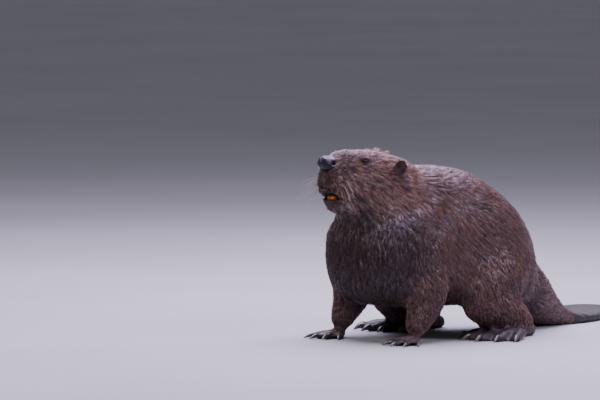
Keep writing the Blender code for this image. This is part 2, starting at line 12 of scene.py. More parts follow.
import bmesh
import bpy
import numpy as np
from mathutils import Matrix, Vector, noise
from mathutils.bvhtree import BVHTree
from mathutils.kdtree import KDTree


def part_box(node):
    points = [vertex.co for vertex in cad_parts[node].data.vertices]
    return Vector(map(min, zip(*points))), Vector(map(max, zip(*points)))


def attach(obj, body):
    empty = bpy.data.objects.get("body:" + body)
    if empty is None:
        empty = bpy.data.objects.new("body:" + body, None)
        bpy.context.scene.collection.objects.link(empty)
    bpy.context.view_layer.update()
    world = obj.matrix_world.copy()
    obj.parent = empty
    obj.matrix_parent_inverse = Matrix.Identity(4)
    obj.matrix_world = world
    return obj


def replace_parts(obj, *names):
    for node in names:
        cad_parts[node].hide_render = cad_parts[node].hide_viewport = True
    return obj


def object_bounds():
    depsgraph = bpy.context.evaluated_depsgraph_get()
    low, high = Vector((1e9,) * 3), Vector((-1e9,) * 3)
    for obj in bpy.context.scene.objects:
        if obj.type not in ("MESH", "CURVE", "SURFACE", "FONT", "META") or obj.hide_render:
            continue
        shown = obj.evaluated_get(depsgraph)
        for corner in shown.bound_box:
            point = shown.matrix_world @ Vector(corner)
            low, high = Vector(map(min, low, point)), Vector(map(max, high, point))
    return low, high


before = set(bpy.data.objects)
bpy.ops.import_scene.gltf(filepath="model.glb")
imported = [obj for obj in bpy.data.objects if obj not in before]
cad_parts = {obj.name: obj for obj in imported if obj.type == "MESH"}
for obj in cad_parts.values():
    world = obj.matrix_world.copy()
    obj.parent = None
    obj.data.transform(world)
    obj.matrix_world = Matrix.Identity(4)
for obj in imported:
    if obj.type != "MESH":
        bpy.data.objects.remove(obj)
CAD_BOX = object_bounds()
SEED = 7  # each run gives the same animal
CHANCE = np.random.default_rng(SEED)
noise.seed_set(SEED)
SIDES = {"left": 1, "right": -1}

# ---------------------------------------------------------------- frames
EYE_PLACE = (0.0895, 0.0320, 0.0385)
HEAD_JOINT = (0.068, 0.000, 0.262)
UP = np.array((0.0, 0.0, 1.0))


def unit(vectors):
    return vectors / np.maximum(np.linalg.norm(vectors, axis=-1, keepdims=True), 1e-12)


def middle(node):
    low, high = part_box(node)
    return np.array((low + high) / 2)


EYES = {side: middle(f"eye_{side}") for side in SIDES}
EYE_RADIUS = (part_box("eye_left")[1].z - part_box("eye_left")[0].z) / 2
HEAD_LEFT = unit(EYES["left"] - EYES["right"])
HEAD_FORWARD = unit(np.cross(HEAD_LEFT, UP))
HEAD_AXES = np.array((HEAD_FORWARD, HEAD_LEFT, UP))
HEAD_ORIGIN = (EYES["left"] + EYES["right"]) / 2 - EYE_PLACE[0] * HEAD_FORWARD - EYE_PLACE[2] * UP
BODY_AXES = np.array(((0.0, -1.0, 0.0), (1.0, 0.0, 0.0), (0.0, 0.0, 1.0)))
BODY_ORIGIN = HEAD_ORIGIN - np.array(HEAD_JOINT) @ BODY_AXES


def to_head(points):
    return (points - HEAD_ORIGIN) @ HEAD_AXES.T


def from_head(places):
    return HEAD_ORIGIN + np.asarray(places) @ HEAD_AXES


def to_body(points):
    return (points - BODY_ORIGIN) @ BODY_AXES.T


def from_body(places):
    return BODY_ORIGIN + np.asarray(places) @ BODY_AXES


# ---------------------------------------------------------------- shaping numbers
def ramp(low, high, x):
    """0 below low, 1 above high, and smooth between them. high may be the lower one."""
    t = np.clip((x - low) / (high - low), 0, 1)
    return t * t * (3 - 2 * t)


def apart(places, centre, radii):
    """Squared distances from a centre, in radii."""
    return (((places - np.array(centre)) / np.array(radii)) ** 2).sum(-1)


def hill(places, centre, radii):
    """1 at a centre, falling to nothing within about twice the radii."""
    return np.exp(-apart(places, centre, radii))


def mirrored(centre, mirror):
    return centre[0], centre[1] * mirror, centre[2]


def noise_at(points, size, seed=0.0):
    """Smooth vectors from -1 to 1 that change over about this size."""
    offset = Vector((seed, seed * 1.7, -seed))
    return np.array([noise.noise_vector(Vector(p) / size + offset) for p in points])


# ---------------------------------------------------------------- the skin as numbers
SKIN_VOXEL = 0.003
GAP_CLOSED = 0.0003  # how far each solid is swollen, so that the thin cuts between them close
WELD = 1e-5


def pair(*names):
    """The nodes of these names on both sides."""
    return [f"{name}_{side}" for name in names for side in SIDES]


EYE_NODES, EAR_NODES = pair("eye"), pair("ear")
LEG_NODES, FOOT_NODES = pair("foreleg", "hindleg"), pair("forefoot", "hindfoot")
HEAD_NODES = ("head", "lower_jaw")
FLESH = sorted(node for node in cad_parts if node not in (*EYE_NODES, "incisors"))
FUSED = FLESH + EYE_NODES  # the eyes' bulges become the lids

# What each part of the body wears. depth: from the coat's tips down to the skin. passes: smoothing
# of the skin. length, width: of a lock. each: square millimetres of skin for one lock.
# clump: how far tips are drawn together. rise: share of the depth at which tips lie.
Coat = namedtuple("Coat", "depth passes length width each clump rise")
COATS = {
    "nose": Coat(0.0000, 2, 0.003, 0.0006, 0, 0.0, 0.5),
    "head": Coat(0.0040, 6, 0.021, 0.00085, 1.65, 0.55, 1.0),
    "lower_jaw": Coat(0.0035, 6, 0.014, 0.0009, 1.9, 0.60, 1.0),
    "ear": Coat(0.0007, 5, 0.0050, 0.00045, 1.0, 0.3, 1.2),
    "neck": Coat(0.0072, 70, 0.026, 0.0011, 3.8, 0.66, 0.9),
    "trunk": Coat(0.0066, 110, 0.026, 0.00120, 5.5, 0.56, 0.74),
    "foreleg": Coat(0.0050, 14, 0.015, 0.0012, 4.6, 0.5, 0.9),
    "hindleg": Coat(0.0060, 24, 0.021, 0.0013, 6.0, 0.55, 0.85),
    "forefoot": Coat(0.0006, 2, 0.006, 0.0009, 2.6, 0.3, 1.4),
    "hindfoot": Coat(0.0006, 2, 0.006, 0.0010, 4.5, 0.3, 1.4),
    "tail_root": Coat(0.0050, 16, 0.020, 0.0014, 6.0, 0.6, 0.9),
    "tail": Coat(0.0009, 10, 0.006, 0.0010, 0, 0.0, 0.5),
}
# Where joins between solids are smoothed further: centre, radii and passes.
SHOULDERS = ((0.125, 0.080, 0.212), (0.045, 0.040, 0.036), 420)  # on the body
MOUTH_CORNERS = ((0.1375, 0.0215, -0.0205), (0.0060, 0.0065, 0.0042), 260)  # on the head
LEG_THINNING = (0.022, 0.065)  # between these heights the coat grows to its whole depth
FOOT_COAT = 0.25  # share of its depth below them
SHARE_BLENDS = (6, 14)  # how softly parts meet, before and after smoothing
SINK_STEPS = 3


class Surface:
    """A triangle mesh as arrays, with values kept at its points."""

    def __init__(self, mesh):
        self.mesh = mesh
        self.points = self.read(mesh.vertices, "co", 3, np.float32).astype(float)
        self.triangles = self.read(mesh.polygons, "vertices", 3, np.int32)
        self.edges = self.read(mesh.edges, "vertices", 2, np.int32)
        self.count = len(self.points)
        self.neighbours = np.bincount(self.edges.ravel(), minlength=self.count)
        self.refresh()

    @staticmethod
    def read(items, name, width, kind):
        values = np.empty(len(items) * width, kind)
        items.foreach_get(name, values)
        return values.reshape(-1, width)

    def refresh(self):
        a, b, c = (self.points[self.triangles[:, i]] for i in range(3))
        crossed = np.cross(b - a, c - a)
        self.areas = np.linalg.norm(crossed, axis=1) / 2
        self.normals = unit(self.gather(crossed[:, None].repeat(3, axis=1).reshape(-1, 3), self.triangles))

    def gather(self, values, indices):
        """Sums rows of values at the points that indices name."""
        indices = indices.ravel()
        columns = [np.bincount(indices, column, self.count) for column in values.T]
        return np.stack(columns, axis=1)

    def average(self, values):
        first, second = self.edges.T
        total = self.gather(values[second], first) + self.gather(values[first], second)
        return total / np.maximum(self.neighbours, 1)[:, None]

    def spread(self, values, passes):
        """Values made smoother over the surface."""
        flat = values.reshape(self.count, -1)
        for _ in range(passes):
            flat = (flat + self.average(flat)) / 2
        return flat.reshape(values.shape)

    def relax(self, passes):
        """Smooths the shape. passes says, for each point, how many times it takes part."""
        for done in range(int(passes.max())):
            share = np.clip(passes - done, 0, 1)[:, None] / 2
            self.points += (self.average(self.points) - self.points) * share
        self.refresh()

    def write(self):
        self.mesh.vertices.foreach_set("co", self.points.astype(np.float32).ravel())
        self.mesh.update()


def object_of(data, name):
    obj = bpy.data.objects.new(name, data)
    bpy.context.scene.collection.objects.link(obj)
    return obj


def mesh_of(bm, name):
    mesh = bpy.data.meshes.new(name)
    bm.to_mesh(mesh)
    bm.free()
    return mesh


def modified(mesh, kind, **settings):
    """What one modifier makes of a mesh."""
    obj = object_of(mesh, "before")
    modifier = obj.modifiers.new(kind, kind)
    for name, value in settings.items():
        setattr(modifier, name, value)
    graph = bpy.context.evaluated_depsgraph_get()
    graph.update()
    made = bpy.data.meshes.new_from_object(obj.evaluated_get(graph))
    bpy.data.objects.remove(obj)
    return made


def flesh_mesh():
    """The flesh nodes fused by a voxel remesh."""
    bm = bmesh.new()
    for node in FUSED:
        bm.from_mesh(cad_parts[node].data)
    bmesh.ops.remove_doubles(bm, verts=bm.verts, dist=WELD)
    bm.normal_update()
    for vertex, normal in [(vertex, vertex.normal.copy()) for vertex in bm.verts]:
        vertex.co += normal * GAP_CLOSED
    return modified(mesh_of(bm, "flesh"), "REMESH", mode="VOXEL", voxel_size=SKIN_VOXEL)


# Where the skin is made finer: places on the head and radii of a stretched ball.
HEAD_BALL = ((0.085, 0.000, 0.005), (0.085, 0.075, 0.075))
EYE_BALL = (0.0150, 0.0150, 0.0130)
FINE_BALLS = (
    (EYE_PLACE, EYE_BALL),
    (mirrored(EYE_PLACE, -1), EYE_BALL),
    ((0.148, 0.000, 0.033), (0.022, 0.028, 0.018)),
    ((0.138, 0.000, -0.020), (0.030, 0.030, 0.016)),
)


def refined(mesh):
    """The mesh in triangles, with finer ones on the head and the finest round eyes, nose and mouth."""
    bm = bmesh.new()
    bm.from_mesh(mesh)
    for balls in ((HEAD_BALL,), FINE_BALLS):
        places = to_head(np.array([vertex.co for vertex in bm.verts]))
        inside = np.zeros(len(places), bool)
        for centre, radii in balls:
            inside |= apart(places, centre, radii) < 1
        bm.verts.index_update()
        edges = [edge for edge in bm.edges if inside[edge.verts[0].index] and inside[edge.verts[1].index]]
        bmesh.ops.subdivide_edges(bm, edges=edges, cuts=1, use_grid_fill=True)
    bmesh.ops.triangulate(bm, faces=bm.faces)
    bm.to_mesh(mesh)
    bm.free()
    return mesh


def owners_of(points):
    """Which solid each point lies nearest to, by its number in FLESH."""
    corners, faces, owners = [], [], []
    for index, node in enumerate(FLESH):
        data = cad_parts[node].data
        faces += [[len(corners) + i for i in polygon.vertices] for polygon in data.polygons]
        corners += [vertex.co for vertex in data.vertices]
        owners += [index] * len(data.polygons)
    tree = BVHTree.FromPolygons(corners, faces)
    return np.array([owners[tree.find_nearest(Vector(point))[2]] for point in points])


def share_of(surface, names):
    """How much of each point belongs to these solids."""
    return surface.shares[:, [FLESH.index(name) for name in names]].sum(1)


def coat_value(surface, field):
    """A number of the coat at each point, blended where parts meet."""
    parts = (node.removesuffix("_left").removesuffix("_right") for node in FLESH)
    return surface.shares @ np.array([getattr(COATS[part], field) for part in parts], float)


def thinning(points):
    return FOOT_COAT + (1 - FOOT_COAT) * ramp(*LEG_THINNING, points[:, 2])


def make_surface():
    """The skin: the fused flesh, smoothed, and sunk by the depth of the coat."""
    surface = Surface(refined(flesh_mesh()))
    surface.owners = owners_of(surface.points)
    surface.shares = surface.spread(np.eye(len(FLESH))[surface.owners], SHARE_BLENDS[0])
    more = spots_at(to_body(surface.points), [SHOULDERS]) + spots_at(to_head(surface.points), [MOUTH_CORNERS])
    surface.relax(coat_value(surface, "passes") + more)
    surface.shares = surface.spread(surface.shares, SHARE_BLENDS[1])
    surface.bare = spots_at(to_head(surface.points), BARE_SPOTS)
    surface.depth = coat_value(surface, "depth") * (1 - surface.bare) * thinning(surface.points)
    for _ in range(SINK_STEPS):
        surface.points -= surface.normals * (surface.depth / SINK_STEPS)[:, None]
        surface.relax(np.full(surface.count, 1.0))
    return surface


# ---------------------------------------------------------------- sculpting the head
LID_OPENING = (0.86, 0.62)  # half sizes of the opening, seen along the eye's axis, in eye radii
LID_TILT = 0.04  # how far its middle lies below the axis, in eye radii
LID_THICKNESS = 0.0009
LID_RIM = 0.0006  # how much thicker the lids are a little way out
EYE_HIDE = 0.0024  # how far behind the ball's front the skin passes under the eye
EYE_AXIS = (0.40, 0.88, 0.10)
EYE_REACH = 2.6  # how far an eye shapes the skin, in its radii
FAR_RING = 9.0  # stands for places beyond that reach
LID_SWELLING = ((1.35,), (0.25,))  # the ring on which lids are thickest, and how wide that is
LID_HOLD = (1.70, 1.20)  # rings between which the skin comes to follow the ball

# Skin without hair, at the coat's own surface.
BARE_SPOTS = (
    ((0.1400, 0.0000, -0.0195), (0.0160, 0.0230, 0.0058), 1.2),
    ((0.1380, 0.0080, -0.0245), (0.0100, 0.0140, 0.0026), 1.0),
    ((0.1535, 0.0000, 0.0140), (0.0100, 0.0034, 0.0100), 0.8),
    ((0.1412, 0.0200, 0.0362), (0.0060, 0.0060, 0.0055), 1.2),
    (EYE_PLACE, (0.0080, 0.0110, 0.0055), 1.3),
)

# Hollows and swellings: place, radii, and how far the skin moves along its normal.
Dent = namedtuple("Dent", "centre radii push")
FACE_FORMS = {
    "nostril": Dent((0.1420, 0.0205, 0.0370), (0.0042, 0.0048, 0.0030), -0.0090),
    "nostril_slit": Dent((0.1365, 0.0225, 0.0397), (0.0036, 0.0040, 0.0016), -0.0030),
    "nostril_wing": Dent((0.1365, 0.0235, 0.0335), (0.0034, 0.0040, 0.0052), 0.0020),
    "nostril_lip": Dent((0.1437, 0.0195, 0.0308), (0.0050, 0.0050, 0.0022), 0.0014),
    "pad_groove": Dent((0.1545, 0.0000, 0.0410), (0.0100, 0.0018, 0.0100), -0.0014),
    "pad_fold": Dent((0.1480, 0.0120, 0.0470), (0.0060, 0.0050, 0.0016), -0.0010),
    "under_nose": Dent((0.1530, 0.0080, 0.0240), (0.0070, 0.0130, 0.0024), -0.0036),
    "whisker_pad": Dent((0.1290, 0.0300, 0.0040), (0.0130, 0.0120, 0.0140), 0.0014),
    "pad_back": Dent((0.1120, 0.0320, 0.0190), (0.0130, 0.0090, 0.0070), -0.0014),
    "tear_line": Dent((0.0985, 0.0330, 0.0310), (0.0070, 0.0080, 0.0034), -0.0014),
    "eye_line": Dent((0.0740, 0.0400, 0.0350), (0.0100, 0.0080, 0.0034), -0.0014),
    "brow": Dent((0.0900, 0.0300, 0.0475), (0.0110, 0.0080, 0.0036), 0.0012),
    "cheek_bone": Dent((0.0880, 0.0440, 0.0220), (0.0120, 0.0100, 0.0060), 0.0012),
    "jowl": Dent((0.1150, 0.0300, -0.0380), (0.0100, 0.0100, 0.0070), 0.0018),
    "lower_lip": Dent((0.1360, 0.0090, -0.0270), (0.0090, 0.0120, 0.0034), 0.0016),
    "upper_lip": Dent((0.1500, 0.0100, -0.0080), (0.0090, 0.0140, 0.0085), -0.0040),
}
PHILTRUM = Dent((0.1530, 0.0, 0.0090), (0.0120, 0.0020, 0.0130), -0.0022)
MOUTH_LINE = ((0.150, -0.0187), (0.119, -0.0250), (0.104, -0.0295))  # (along, up)
MOUTH_LINE_WIDTH = 0.0018
MOUTH_LINE_PUSH = -0.0030
MOUTH_LINE_FADE = 0.006


def mouth_line_at(places):
    """1 on the line between the lips, falling to nothing beside it and past the corner."""
    along, height = zip(*MOUTH_LINE[::-1])
    line = np.interp(places[:, 0], along, height)
    beside = np.exp(-(((places[:, 2] - line) / MOUTH_LINE_WIDTH) ** 2))
    return beside * ramp(along[0], along[0] + MOUTH_LINE_FADE, places[:, 0])


def sculpt_face(surface):
    places = to_head(surface.points)
    push = np.zeros(surface.count)
    for mirror in SIDES.values():
        for dent in FACE_FORMS.values():
            push += dent.push * hill(places, mirrored(dent.centre, mirror), dent.radii)
    push += PHILTRUM.push * hill(places, PHILTRUM.centre, PHILTRUM.radii)
    push += MOUTH_LINE_PUSH * mouth_line_at(places)
    surface.points += surface.normals * push[:, None]
    for side in SIDES:
        form_lids(surface, side)
        hollow_ear(surface, side)
    surface.refresh()


EAR_HOLLOW = 0.0024  # how deep an ear's front lies within its rim
EAR_RIM = (0.85, 0.50)  # shares of its half size between which the hollow begins
EAR_FACING = (0.1, 0.6)
EAR_REACH = 1.6  # in half thicknesses


def hollow_ear(surface, side):
    """Sinks the front of an ear within its rim."""
    points = np.array([vertex.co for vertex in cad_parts[f"ear_{side}"].data.vertices])
    centre = middle(f"ear_{side}")
    axes = np.linalg.svd(points - centre, full_matrices=False)[2]
    front = axes[2] * np.sign(axes[2] @ eye_axis(SIDES[side]))
    halves = np.abs((points - centre) @ axes.T).max(0)
    local = (surface.points - centre) @ axes.T / halves
    ring = np.hypot(local[:, 0], local[:, 1])
    facing = ramp(*EAR_FACING, surface.normals @ front) * (np.abs(local[:, 2]) < EAR_REACH)
    surface.points -= front * (EAR_HOLLOW * facing * ramp(*EAR_RIM, ring))[:, None]


def eye_axis(mirror):
    forward, left, up = EYE_AXIS
    return unit(np.array((forward, left * mirror, up)) @ HEAD_AXES)


def seen_from_eye(points, side):
    """Directions and distances from an eye's centre, and rings round its opening, whose rim is ring 1."""
    axis = eye_axis(SIDES[side])
    front = unit(HEAD_FORWARD - axis * (HEAD_FORWARD @ axis))
    rise = unit(UP - axis * (UP @ axis) - front * (UP @ front))
    ray = points - EYES[side]
    reach = np.linalg.norm(ray, axis=1)
    turned = unit(ray)
    wide, high = LID_OPENING
    ring = np.hypot(turned @ front / wide, (turned @ rise + LID_TILT) / high)
    away = (reach > EYE_REACH * EYE_RADIUS) | (turned @ axis < 0)
    return turned, reach, np.where(away, FAR_RING, ring)


def form_lids(surface, side):
    """Lays the skin over the ball of the eye, and lets it pass under the ball in the opening."""
    turned, reach, ring = seen_from_eye(surface.points, side)
    lid = EYE_RADIUS + LID_THICKNESS + LID_RIM * hill(ring[:, None], *LID_SWELLING)
    target = np.where(ring < 1, EYE_RADIUS - EYE_HIDE, lid)
    reach += (target - reach) * ramp(*LID_HOLD, ring)
    surface.points = EYES[side] + turned * reach[:, None]


# ---------------------------------------------------------------- the lie of the coat
NOSE_SOURCE = (0.150, 0.0, 0.036)  # the face's hair runs out from here
NOSE_AHEAD = 0.006  # and always from at least this far ahead
FACE_DROOP = 0.045  # how much lower it aims on the cheeks,
DROOP_BACK = (0.13, 0.04)  # growing between these places along the head
DROOP_DOWN = (0.050, 0.0)  # and these heights on it
# Angle below straight back, along the trunk from breast to tail root, in degrees.
TRUNK_LIE = ((0.16, 90), (0.12, 82), (0.06, 62), (-0.03, 40), (-0.12, 42), (-0.22, 46))
SPINE = (0.085, 0.030)  # the hair turns back between these depths below the top
SPINE_TURN = 0.75
UNDERSIDE = (-0.5, -0.9)  # heights of the normal between which the belly's hair turns straight back
# Directions (forward, left, up) on the body, and on the head for the ears.
LEG_LIE = (-0.25, 0.0, -1.0)
FOOT_LIE = (1.0, 0.0, -0.4)
TAIL_LIE = (-1.0, -0.25, -0.35)
EAR_LIE = (-0.35, 0.25, 1.0)
FLOW_BLENDS = 4
# How the lie wanders: over what size, by how much, and the seed of the noise.
WANDERINGS = ((0.045, 0.30, 3.0), (0.014, 0.34, 9.0))
HEAD_CALM = 0.5


def lie_of_coat(surface):
    """The direction of the hair at each point, along the surface."""
    head = to_head(surface.points)
    body = to_body(surface.points)
    from_nose = head - np.array(NOSE_SOURCE)
    from_nose[:, 0] = np.minimum(from_nose[:, 0], -NOSE_AHEAD)
    from_nose[:, 2] -= FACE_DROOP * ramp(*DROOP_BACK, head[:, 0]) * ramp(*DROOP_DOWN, head[:, 2])
    face_lie = unit(from_nose) @ HEAD_AXES
    along, angles = zip(*TRUNK_LIE[::-1])
    angle = np.radians(np.interp(body[:, 0], along, angles))
    deep, shallow = CAD_BOX[1].z - np.array(SPINE)
    angle *= 1 - SPINE_TURN * ramp(deep, shallow, body[:, 2])
    trunk_lie = np.stack([-np.cos(angle), np.zeros_like(angle), -np.sin(angle)], axis=1)
    under = ramp(*UNDERSIDE, surface.normals[:, 2])[:, None]
    trunk_lie = trunk_lie * (1 - under) + np.array((-1.0, 0.0, 0.0)) * under
    lies = (
        ((*HEAD_NODES, "nose"), face_lie),
        (("trunk", "neck"), unit(trunk_lie) @ BODY_AXES),
        (LEG_NODES, unit(np.array(LEG_LIE)) @ BODY_AXES),
        (FOOT_NODES, unit(np.array(FOOT_LIE)) @ BODY_AXES),
        (("tail_root", "tail"), unit(np.array(TAIL_LIE)) @ BODY_AXES),
        (EAR_NODES, unit(np.array(EAR_LIE) @ HEAD_AXES)),
    )
    flow = sum(share_of(surface, names)[:, None] * lie for names, lie in lies)
    flow = flat_on(flow, surface.normals)
    for _ in range(FLOW_BLENDS):
        flow = flat_on(surface.spread(flow, FLOW_BLENDS), surface.normals)
    calm = 1 - HEAD_CALM * share_of(surface, HEAD_NODES)
    wander = sum(noise_at(surface.points, size, seed) * amount for size, amount, seed in WANDERINGS)
    return flat_on(flow + wander * calm[:, None], surface.normals)


def flat_on(vectors, normals):
    return unit(vectors - normals * (vectors * normals).sum(1, keepdims=True))


# ---------------------------------------------------------------- markings and painted shade, alike on skin and coat
# Each spot of colour, and each of painted shade: places on the head with radii, and strength.
RUST_SPOTS = (
    ((0.0150, 0.0620, 0.0320), (0.0160, 0.0140, 0.0200), 1.0),
    ((0.0600, 0.0450, 0.0400), (0.0240, 0.0160, 0.0110), 0.9),
    ((0.0420, 0.0000, 0.0550), (0.0420, 0.0380, 0.0160), 1.0),
    ((0.0560, 0.0450, 0.0270), (0.0120, 0.0100, 0.0090), 0.5),
)
PALE_SPOTS = (
    ((0.1215, 0.0272, -0.0357), (0.0125, 0.0160, 0.0092), 1.0),
    ((0.1230, 0.0337, 0.0220), (0.0060, 0.0080, 0.0030), 0.45),
    ((0.1120, 0.0360, 0.0180), (0.0070, 0.0080, 0.0030), 0.45),
    ((0.1000, 0.0400, 0.0145), (0.0070, 0.0080, 0.0030), 0.40),
    ((0.0890, 0.0440, 0.0115), (0.0070, 0.0080, 0.0030), 0.30),
)
EAR_HOLLOW_SHADE = ((0.0400, 0.0590, 0.0265), (0.0130, 0.0110, 0.0105), 1.0)  # painted shade in an ear's hollow, within its rim
DARK_SPOTS = (
    ((0.1400, 0.0120, -0.0250), (0.0130, 0.0150, 0.0120), 1.0),
    ((0.1490, 0.0100, -0.0110), (0.0120, 0.0150, 0.0085), 1.0),
    ((0.1530, 0.0070, 0.0040), (0.0100, 0.0070, 0.0150), 0.9),
    # Painted shade in the crease under the nose pad.
    ((0.1530, 0.0080, 0.0240), (0.0070, 0.0140, 0.0034), 1.0),
    # Painted shade in the nostril.
    ((0.1420, 0.0205, 0.0370), (0.0050, 0.0058, 0.0038), 1.0),
    (EYE_PLACE, (0.0085, 0.0100, 0.0058), 0.6),
    # Painted shade under the jaw and on the throat, beneath the head.
    ((0.0800, 0.0300, -0.0640), (0.0500, 0.0550, 0.0200), 1.0),
    ((0.1000, 0.0330, 0.0335), (0.0050, 0.0080, 0.0030), 0.7),
    ((0.0770, 0.0400, 0.0375), (0.0060, 0.0080, 0.0026), 0.6),
    ((0.0670, 0.0450, 0.0350), (0.0060, 0.0080, 0.0026), 0.6),
    ((0.0570, 0.0500, 0.0310), (0.0060, 0.0080, 0.0030), 0.6),
    # Painted shade at the ear's front, where it meets the head.
    ((0.0500, 0.0540, 0.0235), (0.0050, 0.0070, 0.0090), 0.9),
)
# Where the body darkens, as painted shade under the head and under the body, on breast and throat fur that is
# darker too: places along it, and heights.
BREAST_FROM = (0.07, 0.13)
BREAST_BELOW = (0.265, 0.215)
BELLY_BELOW = (0.10, 0.03)
THROAT = (0.115, 0.090)  # along the head
SHADE_DARK = 0.92
EAR_TONES = (0.30, 0.60)  # of the whole ear, its own darker skin, and more within its rim as painted shade
EAR_BARE = 0.5
PATCHES = (0.030, 21.0)  # size and seed of faint patches of rust and of pale
RUST_PATCHES = (0.12, 0.0, 0.7)  # strength, and the range of the noise over which they rise
PALE_PATCHES = (0.10, 0.2, 0.8)


def spots_at(places, spots):
    """The strongest of these spots at each place, alike on both sides."""
    total = np.zeros(len(places))
    for centre, radii, strength in spots:
        for mirror in SIDES.values():
            total = np.maximum(total, strength * hill(places, mirrored(centre, mirror), radii))
    return total


def markings_and_painted_shade(surface):
    """Shares of rust, pale and dark at each point; dark holds painted shade as well as dark markings."""
    head, body = to_head(surface.points), to_body(surface.points)
    patches = noise_at(surface.points, *PATCHES)
    on_trunk = share_of(surface, ("trunk", "neck"))
    strength, *rise = RUST_PATCHES
    rust = spots_at(head, RUST_SPOTS) + strength * ramp(*rise, patches[:, 0])
    strength, *rise = PALE_PATCHES
    pale = spots_at(head, PALE_SPOTS) + strength * ramp(*rise, patches[:, 1])
    breast = on_trunk * ramp(*BREAST_FROM, body[:, 0]) * ramp(*BREAST_BELOW, body[:, 2])
    belly = on_trunk * ramp(*BELLY_BELOW, body[:, 2])
    throat = share_of(surface, ("lower_jaw",)) * ramp(*THROAT, head[:, 0])
    ears = share_of(surface, EAR_NODES)
    dark = np.maximum.reduce([
        spots_at(head, DARK_SPOTS),
        # Painted shade on breast, belly and throat, over the darker fur of breast and throat.
        SHADE_DARK * np.maximum.reduce([breast, belly, throat]),
        # Painted shade along the line between the lips.
        mouth_line_at(head) * share_of(surface, HEAD_NODES),
        # Ears: their own darker skin, and painted shade in the hollow within the rim.
        ears * (EAR_TONES[0] + EAR_TONES[1] * spots_at(head, [EAR_HOLLOW_SHADE])),
    ])
    bare = np.maximum(surface.bare, EAR_BARE * ears)
    bare += share_of(surface, ("nose", "tail", *FOOT_NODES))
    return np.clip(np.stack([rust, pale, dark, bare], axis=1), 0, 1)


MARKS = ("rust", "pale", "dark", "bare")


# ---------------------------------------------------------------- materials
class Paint:
    """Short ways to lay nodes into one material."""

    def __init__(self, name, roughness, **constants):
        self.material = bpy.data.materials.new(name)
        self.material.use_nodes = True
        self.tree = self.material.node_tree
        self.shader = self.tree.nodes["Principled BSDF"]
        self.fill(self.shader, Roughness=roughness, **constants)
        self.place = self.node("TexCoord").outputs["Object"]

    def put(self, socket, value):
        """Links a node's output to a socket, or sets a number or a colour on it."""
        if isinstance(value, bpy.types.NodeSocket):
            self.tree.links.new(value, socket)
        else:
            socket.default_value = value

    def fill(self, node, **inputs):
        for name, value in inputs.items():
            self.put(node.inputs[name.replace("_", " ")], value)

    def node(self, kind, **inputs):
        node = self.tree.nodes.new(f"ShaderNode{kind}")
        self.fill(node, **inputs)
        return node

    def mark(self, name):
        """A number that is kept at the mesh's points."""
        node = self.node("Attribute")
        node.attribute_name = name
        return node.outputs["Fac"]

    def span(self, value, low, high, start=0.0, end=1.0):
        """Numbers from start to end become numbers from low to high."""
        limits = {"From_Min": start, "From_Max": end, "To_Min": low, "To_Max": high}
        return self.node("MapRange", Value=value, **limits).outputs["Result"]

    def noise(self, scale, detail=3.0):
        settings = {"Scale": scale, "Detail": detail, "Roughness": 0.55}
        return self.node("TexNoise", Vector=self.place, **settings).outputs["Fac"]

    def mottled(self, scale, low, high, start=0.3, end=0.7, detail=3.0):
        """Soft patches of numbers from low to high."""
        return self.span(self.noise(scale, detail), low, high, start, end)

    def creases(self, scale, width):
        """0 along the borders of small cells, and 1 within them."""
        cells = self.node("TexVoronoi", Vector=self.place, Scale=scale)
        cells.feature = "DISTANCE_TO_EDGE"
        return self.span(cells.outputs["Distance"], 0.0, 1.0, 0.0, width)

    def times(self, first, second):
        node = self.node("Math")
        node.operation = "MULTIPLY"
        self.put(node.inputs[0], first)
        self.put(node.inputs[1], second)
        return node.outputs["Value"]

    def mix(self, factor, first, second, blend="MIX"):
        node = self.node("Mix")
        node.data_type = "RGBA"
        node.blend_type = blend
        self.fill(node, Factor=factor, A=first, B=second)
        return node.outputs["Result"]

    def marked(self, name, strength, base, colour):
        """The colour laid over the base where the skin is marked."""
        return self.mix(self.times(self.mark(name), strength), base, colour)

    def finish(self, colour, bump=None, rough=None):
        """Connects the shader. bump: height, strength and distance. rough: scale, low and high."""
        self.fill(self.shader, Base_Color=colour)
        if rough:
            self.fill(self.shader, Roughness=self.mottled(*rough))
        if bump:
            height, strength, distance = bump
            node = self.node("Bump", Strength=strength, Distance=distance, Height=height)
            self.fill(self.shader, Normal=node.outputs["Normal"])
        return self.material


BROWN = (0.106, 0.055, 0.041, 1)
UMBER = (0.068, 0.035, 0.027, 1)
RUST = (0.250, 0.092, 0.046, 1)
TAN = (0.185, 0.112, 0.084, 1)
BUFF = (0.340, 0.260, 0.230, 1)
BLACK_BROWN = (0.017, 0.010, 0.010, 1)
BARE_SKIN = ((0.018, 0.013, 0.018, 1), (0.036, 0.027, 0.033, 1))
# Bare skin and nose leather where marked dark: the lips' and eyelids' own darkness, and painted shade in the
# mouth line, the nostrils and under the nose pad.
BARE_SKIN_DARK = (0.006, 0.004, 0.005, 1)
LEATHER = ((0.006, 0.005, 0.007, 1), (0.026, 0.020, 0.031, 1))
LEATHER_DARK = (0.004, 0.003, 0.004, 1)
SCALES = ((0.022, 0.018, 0.017, 1), (0.050, 0.040, 0.036, 1))
SCALE_STAIN = (0.020, 0.018, 0.019, 1)
HORN = ((0.030, 0.024, 0.021, 1), (0.130, 0.100, 0.075, 1))
HORN_STAIN = (0.014, 0.011, 0.010, 1)
ENAMEL = ((0.48, 0.115, 0.006, 1), (0.72, 0.25, 0.018, 1))
EYE_BLACK = ((0.001, 0.001, 0.001, 1), (0.005, 0.003, 0.003, 1))
WHISKER = ((0.10, 0.075, 0.06, 1), (0.62, 0.56, 0.50, 1))
FLOOR = ((0.27, 0.27, 0.28, 1), (0.30, 0.30, 0.31, 1))
